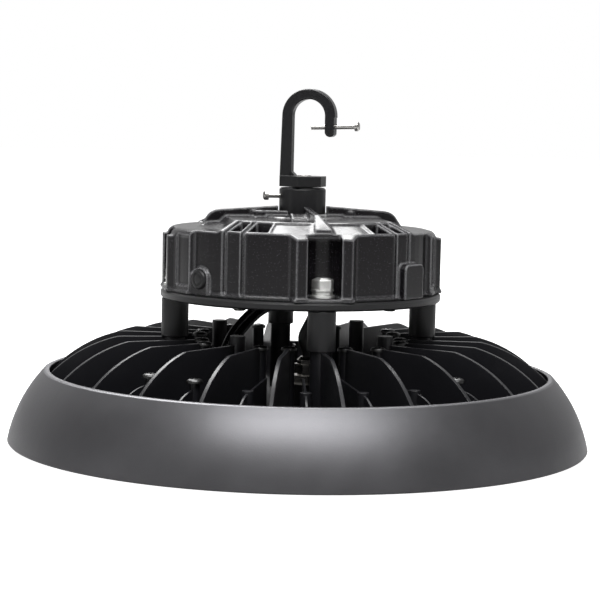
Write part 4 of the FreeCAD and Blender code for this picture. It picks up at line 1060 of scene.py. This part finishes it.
    def hub(self) -> list[bpy.types.Object]:
        """Low disc round the collar with its pads, a key-shaped tab and a sloped pad."""
        low = self.plateau - 2
        solids = [Bench.cylinder("disc", 24.0 * MM, low * MM, (self.plateau + 0.8) * MM, 64)]
        for angle in (0, 90, 180, 270):
            pad = Bench.cylinder("pad", 2.5 * MM, low * MM, 131.0 * MM, 24)
            pad.data.transform(Matrix.Translation(round_point(28.0, angle) * MM))
            solids.append(pad)
        top = 131.6
        solids.append(Bench.box("tab", (-25.5 * MM, -9.0 * MM, low * MM),
                                (-9.0 * MM, -4.0 * MM, top * MM)))
        end = Bench.cylinder("tab_end", 3.4 * MM, low * MM, top * MM, 24)
        end.data.transform(Matrix.Translation(Vector((-25.0, -7.0, 0.0)) * MM))
        solids.append(end)
        side = [(-22.0, low), (-22.0, 130.8), (-25.5, 130.8), (-31.5, 128.4), (-31.5, low)]
        solids.append(Bench.prism("sloped_pad", [Vector((-10.5, y, z)) for y, z in side],
                                  Vector((10.0, 0.0, 0.0))))
        return solids

    def build(self, shelf: Shelf) -> bpy.types.Object:
        """Model the casting, soften it and put it on the lamp.

        Args:
            shelf: where the finish is taken from.

        Returns:
            The cover.
        """
        lower = self.walls()
        Bench.keep_common(lower, self.lathe(81.0, self.rim - 4.0,
                                            [(4.8, 0.0), (0.4, 1.6), (0.9, 1.2), (1.2, 0.8),
                                             (1.6, 0.4), (12.1, 0.0), (7.0, 2.6)]))
        for cutter in self.relief(90.0) + self.relief(270.0):
            Bench.carve(lower, cutter)
        for post in (0.0, 180.0):
            for side in (-1, 1):
                span = tuple(post + side * a for a in self.lobe_panel)
                Bench.carve(lower, self.band(span, (self.lobe_r - 1.3, self.land_r + 5),
                                             (90.5, 90.5), 28.0))
        raised = self.walls()
        edge_r = self.land_r + 2
        Bench.keep_common(raised, self.lathe(edge_r, self.shoulder(edge_r),
                                             [(edge_r - self.plateau_r,
                                               self.plateau - self.shoulder(edge_r))]))
        wedge = [Vector((0, 0, self.seat - 1))]
        wedge += [round_point(120.0, 270.0 + a, self.seat - 1) for a in (-47.5, 0.0, 47.5)]
        Bench.keep_common(raised, Bench.prism("wedge", wedge, Vector((0, 0, 60.0))))
        for cutter in self.relief(270.0):
            Bench.carve(raised, cutter)
        rear = Bench.copy_at(raised, Matrix.Rotation(math.pi, 4, "Z"))
        reach, top, low = 39.9, self.plateau, self.rim + 1.6
        middle = Bench.prism("middle", [Vector((x, -reach, z)) for x, z in
                                        ((-48.5, low), (-43.5, top), (43.5, top), (48.5, low),
                                         (48.5, self.seat), (-48.5, self.seat))],
                             Vector((0, 2 * reach, 0)))
        flange = Bench.prism("flange", self.plan(0.9, self.seat), Vector((0, 0, 1.8)))
        ramps = [self.ramp(90.0), self.ramp(270.0)]
        for body in [lower, raised, rear] + ramps:
            for angle in (0.0, 90.0, 180.0, 270.0):
                for cutter in self.recess(angle):
                    Bench.carve(body, cutter)
        blocks = [self.block(213.0, 7.0, 74.8, 101.6, 6.4),
                  self.block(313.9, 8.75, 77.6, 105.5, 3.2),
                  self.block(30.0, 10.5, 77.6, 114.5, 9.9)]
        webs = [self.web(a) for a in (0.0, 90.0, 180.0, 270.0)]
        piece = Bench.join("driver_cover_casting", [lower, raised, rear, middle, flange]
                           + ramps + blocks + webs + self.hub())
        Bench.cast(piece, self.grid, self.softening, self.limit)
        shelf.dress(piece, Finish.cover_black)
        Bench.hand_over(piece, "cover_black", "driver_cover")
        return piece


@dataclass
class PostBolts:
    """Hex bolts of the posts, each on a spring washer and a flat washer; millimetres."""

    circle: float = 71.5
    seat: float = 88.3
    flat: tuple[float, float] = (6.5, 1.7)
    spring: tuple[float, float] = (5.6, 2.0)
    flange: tuple[float, float] = (6.1, 1.1)
    across: float = 10.8
    head: float = 5.9
    shank: tuple[float, float] = (2.9, 14.0)

    def one(self) -> bpy.types.Object:
        """Model one bolt with its washers on the Z axis.

        Returns:
            The stack.
        """
        level = self.seat
        parts = [Bench.cylinder("shank", self.shank[0] * MM, (level - self.shank[1]) * MM,
                                (level + 4) * MM, 16)]
        for radius, height in (self.flat, self.spring, self.flange):
            parts.append(Bench.cylinder("washer", radius * MM, level * MM,
                                        (level + height - 0.12) * MM, 40))
            level += height
        head = Bench.cylinder("hex", self.across / math.sqrt(3.0) * MM, (level - 0.3) * MM,
                              (level + self.head - 1.2) * MM, 6)
        Bench.pick_faces(head, lambda face: face.normal.z > 0.9)
        Bench.step_in([(0.5 * MM, 0.6 * MM), (0.9 * MM, 0.0), (0.3 * MM, 0.6 * MM)])
        bpy.ops.object.mode_set(mode="OBJECT")
        return Bench.join("post_bolt_one", parts + [head])

    def build(self, shelf: Shelf) -> None:
        """Copy the bolt to its four places and put the bolts on the lamp.

        Args:
            shelf: where the finish is taken from.
        """
        one = self.one()
        copies = []
        for i in range(4):
            spot = Matrix.Translation(round_point(self.circle, 90 * i) * MM)
            copies.append(Bench.copy_at(one, spot @ Matrix.Rotation(0.35 + 0.8 * i, 4, "Z")))
        bpy.data.objects.remove(one)
        piece = Bench.join("post_bolt_stacks", copies)
        Bench.bevel(piece, 0.00022, 2, 35.0)
        Bench.smooth(piece, 35.0)
        shelf.dress(piece, Finish.bright_zinc)
        Bench.hand_over(piece, "zinc", "post_bolts", "flat_washers", "spring_washers")


@dataclass
class BlankingPlug:
    """Push-in plug with a domed head and a moulded ring; millimetres and degrees."""

    angle: float = 213.0
    level: float = 95.0
    seat: float = 74.6
    radius: float = 5.3

    def build(self, shelf: Shelf) -> None:
        """Model the plug and put it on the lamp.

        Args:
            shelf: where the finish is taken from.
        """
        head = Bench.cylinder("blanking_plug_head", self.radius * MM, -1.0 * MM, 1.0 * MM, 48)
        Bench.pick_faces(head, lambda face: face.normal.z > 0.9)
        Bench.step_in([(0.5 * MM, 0.5 * MM), (0.8 * MM, 0.1 * MM), (0.5 * MM, -0.5 * MM),
                       (0.6 * MM, 0.0), (0.5 * MM, 0.5 * MM), (1.0 * MM, 0.15 * MM)])
        bpy.ops.object.mode_set(mode="OBJECT")
        head.data.transform(Matrix.Rotation(math.radians(self.angle), 4, "Z")
                            @ Matrix.Translation(Vector((self.seat, 0, self.level)) * MM)
                            @ Matrix.Rotation(math.pi / 2, 4, "Y"))
        Bench.smooth(head, 50.0)
        shelf.dress(head, Finish.nylon_black)
        Bench.hand_over(head, "nylon_black", "blanking_plug")


# ---------------------------------------------------------------- sub-assemblies
@dataclass
class Body:
    """Ring, heat sink and what is fastened to them."""

    frame_shank: float = 0.0020
    column_shank: float = 0.00175

    def build(self, shelf: Shelf) -> None:
        """Dress ring and heat sink and set the screws.

        Args:
            shelf: where the finishes are taken from.
        """
        shelf.dress_nodes(Finish.ring_graphite, "rim_ring")
        shelf.dress_nodes(Finish.sink_black, "heat_sink")
        PanScrews("frame_screws", self.frame_shank, Finish.smoked_zinc).build(shelf)
        PanScrews("column_screws", self.column_shank, Finish.smoked_zinc).build(shelf)
        shelf.dress_nodes(Finish.nickel, "centre_gland")
        shelf.dress_nodes(Finish.rubber_black, "lead_grommet")


@dataclass
class DriverBox:
    """Posts, base plate, cover and its fastenings."""

    def build(self, shelf: Shelf) -> None:
        """Dress the driver box.

        Args:
            shelf: where the finishes are taken from.
        """
        shelf.dress_nodes(Finish.post_black, "post_front", "post_right", "post_rear",
                          "post_left")
        shelf.dress_nodes(Finish.plate_black, "driver_base_plate")
        CoverCasting().build(shelf)
        BlankingPlug().build(shelf)
        PostBolts().build(shelf)
        shelf.dress_nodes(Finish.nylon_black, "mains_gland", "top_glands")
        shelf.dress_nodes(Finish.rubber_black, "cover_gasket")
        shelf.dress_nodes(Finish.stainless, "cover_screws", "module_screws")
        shelf.dress_nodes(Finish.module_aluminium, "driver_module")


@dataclass
class Suspension:
    """Collar, hook and their screws."""

    def build(self, shelf: Shelf) -> None:
        """Dress collar, hook and screws.

        Args:
            shelf: where the finishes are taken from.
        """
        shelf.dress_nodes(Finish.hook_black, "hook_collar", "hook")
        shelf.dress_nodes(Finish.stainless, "collar_set_screw", "gate_screw", "stem_pin")


@dataclass
class LightEngine:
    """Board, chips, lens sheet with its domes, and the frame that holds them."""

    def build(self, shelf: Shelf) -> None:
        """Dress the light engine.

        Args:
            shelf: where the finishes are taken from.
        """
        shelf.dress_nodes(Finish.board_white, "led_board")
        shelf.dress_nodes(Finish.chip_yellow, "led_chips")
        shelf.dress_nodes(Finish.lens_clear, "lens")
        shelf.dress_nodes(Finish.rubber_black, "lens_gasket")
        shelf.dress_nodes(Finish.ring_graphite, "lens_frame")


@dataclass
class LeadPair:
    """Two strands side by side on one route; metres.

    A route's row is a control point and the shift from it to the first strand's point.
    """

    name: str
    node: str
    radius: float
    route: tuple[tuple[Colour, Colour], ...]

    def strand(self, side: float) -> bpy.types.Object:
        """Lay one strand as a smooth round curve and mesh it.

        Args:
            side: which way it is shifted.

        Returns:
            The strand.
        """
        curve = bpy.data.curves.new(self.name, "CURVE")
        curve.dimensions = "3D"
        curve.resolution_u = 14
        curve.bevel_depth = self.radius
        curve.bevel_resolution = 6
        curve.use_fill_caps = True
        spline = curve.splines.new("NURBS")
        spline.points.add(len(self.route) - 1)
        for point, (place, shift) in zip(spline.points, self.route):
            point.co = (*(Vector(place) + side * Vector(shift)), 1.0)
        spline.order_u = 3
        spline.use_endpoint_u = True
        piece = bpy.data.objects.new(self.name, curve)
        bpy.context.collection.objects.link(piece)
        Bench.take(piece)
        bpy.ops.object.convert(target="MESH")
        return bpy.context.object

    def build(self, shelf: Shelf) -> None:
        """Lay both strands and put them on the lamp.

        Args:
            shelf: where the finish is taken from.
        """
        piece = Bench.join(self.name, [self.strand(1.0), self.strand(-1.0)])
        Bench.smooth(piece, 60.0)
        shelf.dress(piece, Finish.lead_black)
        Bench.hand_over(piece, "lead_black", self.node)


@dataclass
class Leads:
    """The leads between the driver box and the heat sink."""

    left: LeadPair = field(default_factory=lambda: LeadPair(
        "left_lead_strands", "left_lead", 0.0021, (
            ((0.0016, 0.0403, 0.0815), (0.0008, 0.0, 0.0)),
            ((0.0016, 0.0403, 0.0740), (0.0012, 0.0, 0.0)),
            ((-0.0158, 0.0330, 0.0745), (-0.0012, 0.0, 0.0016)),
            ((-0.0303, 0.0192, 0.0645), (-0.0016, 0.0, 0.0014)),
            ((-0.0388, 0.0105, 0.0545), (-0.0020, 0.0, 0.0008)),
            ((-0.0457, 0.0055, 0.0380), (-0.0012, 0.0, 0.0)),
            ((-0.0457, 0.0055, 0.0210), (-0.0008, 0.0, 0.0)))))

    def build(self, shelf: Shelf) -> None:
        """Lay the left leads and dress the front one.

        Args:
            shelf: where the finish is taken from.
        """
        self.left.build(shelf)
        shelf.dress_nodes(Finish.lead_black, "front_lead")


# ---------------------------------------------------------------- studio
@dataclass
class Lamp:
    """One soft studio lamp."""

    name: str
    place: Colour
    aim: Colour
    size: tuple[float, float]
    power: float


@dataclass
class Studio:
    """White surround, floor, soft lamps and camera."""

    ground: float = 0.16
    front_gloss: float = 0.12
    rear_gloss: float = 0.42
    floor_glow: float = 0.95
    lamps: list[Lamp] = field(default_factory=lambda: [
        Lamp("behind", (-0.08, 1.17, 1.62), (0.0, 0.0, 0.12), (1.3, 1.15), 50.0),
        Lamp("overhead", (-0.17, -0.98, 1.80), (0.0, -0.10, 0.03), (1.75, 0.85), 43.0),
        Lamp("strip_left", (-1.50, -0.45, 0.30), (0.0, 0.0, 0.11), (0.10, 0.9), 0.3),
        Lamp("strip_right", (1.50, -0.50, 0.30), (0.0, 0.0, 0.11), (0.10, 0.9), 0.3)])
    eye: Colour = (-0.1782, -1.0755, 0.1833)
    heading: tuple[float, float] = (0.1633, 0.9866)
    pitch: float = 5.4
    roll: float = 1.2
    lens: float = 115.2

    def world(self) -> None:
        """White to the eye and in reflections, a plain grey level on the lamp."""
        world = bpy.data.worlds.new("surround")
        bpy.context.scene.world = world
        world.use_nodes = True
        nodes, links = world.node_tree.nodes, world.node_tree.links
        nodes.clear()
        path = nodes.new("ShaderNodeLightPath")

        def maths(operation: str, first: bpy.types.NodeSocket,
                  second: Union[bpy.types.NodeSocket, float]) -> bpy.types.NodeSocket:
            """Result of one Math node."""
            node = nodes.new("ShaderNodeMath")
            node.operation = operation
            links.new(first, node.inputs[0])
            if isinstance(second, float):
                node.inputs[1].default_value = second
            else:
                links.new(second, node.inputs[1])
            return node.outputs[0]

        way = nodes.new("ShaderNodeSeparateXYZ")
        links.new(nodes.new("ShaderNodeTexCoord").outputs["Generated"], way.inputs[0])
        behind = nodes.new("ShaderNodeMapRange")
        behind.inputs["From Min"].default_value = 0.20
        behind.inputs["From Max"].default_value = 0.70
        behind.inputs["To Min"].default_value = self.front_gloss
        behind.inputs["To Max"].default_value = self.rear_gloss
        links.new(way.outputs["Y"], behind.inputs["Value"])
        gloss = maths("MULTIPLY", path.outputs["Is Glossy Ray"], behind.outputs[0])
        seen = maths("MAXIMUM", path.outputs["Is Camera Ray"], gloss)
        clear = maths("MAXIMUM", seen, path.outputs["Is Transmission Ray"])
        plain = nodes.new("ShaderNodeBackground")
        plain.inputs["Strength"].default_value = self.ground
        white = nodes.new("ShaderNodeBackground")
        white.inputs["Strength"].default_value = 1.0
        for shade in (plain, white):
            shade.inputs["Color"].default_value = (1.0, 1.0, 1.0, 1.0)
        mixed = nodes.new("ShaderNodeMixShader")
        out = nodes.new("ShaderNodeOutputWorld")
        links.new(clear, mixed.inputs[0])
        links.new(plain.outputs[0], mixed.inputs[1])
        links.new(white.outputs[0], mixed.inputs[2])
        links.new(mixed.outputs[0], out.inputs["Surface"])

    def floor(self) -> None:
        """White floor that keeps the lamp's shadow."""
        Bench.clear()
        bpy.ops.mesh.primitive_circle_add(vertices=64, radius=9.0, fill_type="NGON",
                                          location=(0, 0, -0.0004))
        piece = bpy.context.object
        piece.name = "studio_floor"
        Bench.settle(piece)
        recipe = Recipe("floor_white")
        recipe.put("Base Color", (0.48, 0.48, 0.48))
        recipe.put("Roughness", 0.9)
        recipe.put("Specular IOR Level", 0.0)
        recipe.put("Emission Color", recipe.mix(
            recipe.node("ShaderNodeLightPath", {}, {}, "Is Camera Ray"),
            (0.0, 0.0, 0.0), (1.0, 1.0, 1.0)))
        recipe.put("Emission Strength", self.floor_glow)
        piece.data.materials.append(recipe.material)

    def light(self, lamp: Lamp) -> None:
        """Hang one lamp.

        Args:
            lamp: its place, aim, size and power.
        """
        data = bpy.data.lights.new(lamp.name, "AREA")
        data.shape = "RECTANGLE"
        data.size, data.size_y = lamp.size
        data.energy = lamp.power
        made = bpy.data.objects.new(lamp.name, data)
        bpy.context.scene.collection.objects.link(made)
        way = Vector(lamp.aim) - Vector(lamp.place)
        made.matrix_world = (Matrix.Translation(lamp.place)
                             @ way.to_track_quat("-Z", "Y").to_matrix().to_4x4())
        made.visible_camera = False

    def camera(self) -> None:
        """Set the camera."""
        data = bpy.data.cameras.new("camera")
        data.sensor_width = 36.0
        data.lens = self.lens
        data.clip_start = 0.02
        made = bpy.data.objects.new("camera", data)
        bpy.context.scene.collection.objects.link(made)
        down = math.radians(self.pitch)
        ahead = Vector((self.heading[0] * math.cos(down), self.heading[1] * math.cos(down),
                        -math.sin(down))).normalized()
        right = ahead.cross(Vector((0, 0, 1))).normalized()
        up = right.cross(ahead)
        turn = math.radians(self.roll)
        up_turned = up * math.cos(turn) - right * math.sin(turn)
        right_turned = right * math.cos(turn) + up * math.sin(turn)
        axes = Matrix((right_turned, up_turned, -ahead)).transposed().to_4x4()
        made.matrix_world = Matrix.Translation(self.eye) @ axes
        bpy.context.scene.camera = made

    def build(self) -> None:
        """Set up surround, floor, lamps and camera."""
        scene = bpy.context.scene
        scene.view_settings.view_transform = "Standard"
        self.world()
        self.floor()
        for lamp in self.lamps:
            self.light(lamp)
        self.camera()
        LOG.info("studio: %d lamps", len(self.lamps))


def main() -> None:
    """Build the lamp's looks and the studio in order."""
    logging.basicConfig(level=logging.INFO, format="%(name)s %(message)s")
    Studio().build()
    shelf = Shelf()
    Body().build(shelf)
    DriverBox().build(shelf)
    Suspension().build(shelf)
    LightEngine().build(shelf)
    Leads().build(shelf)


if __name__ == "__main__":
    main()
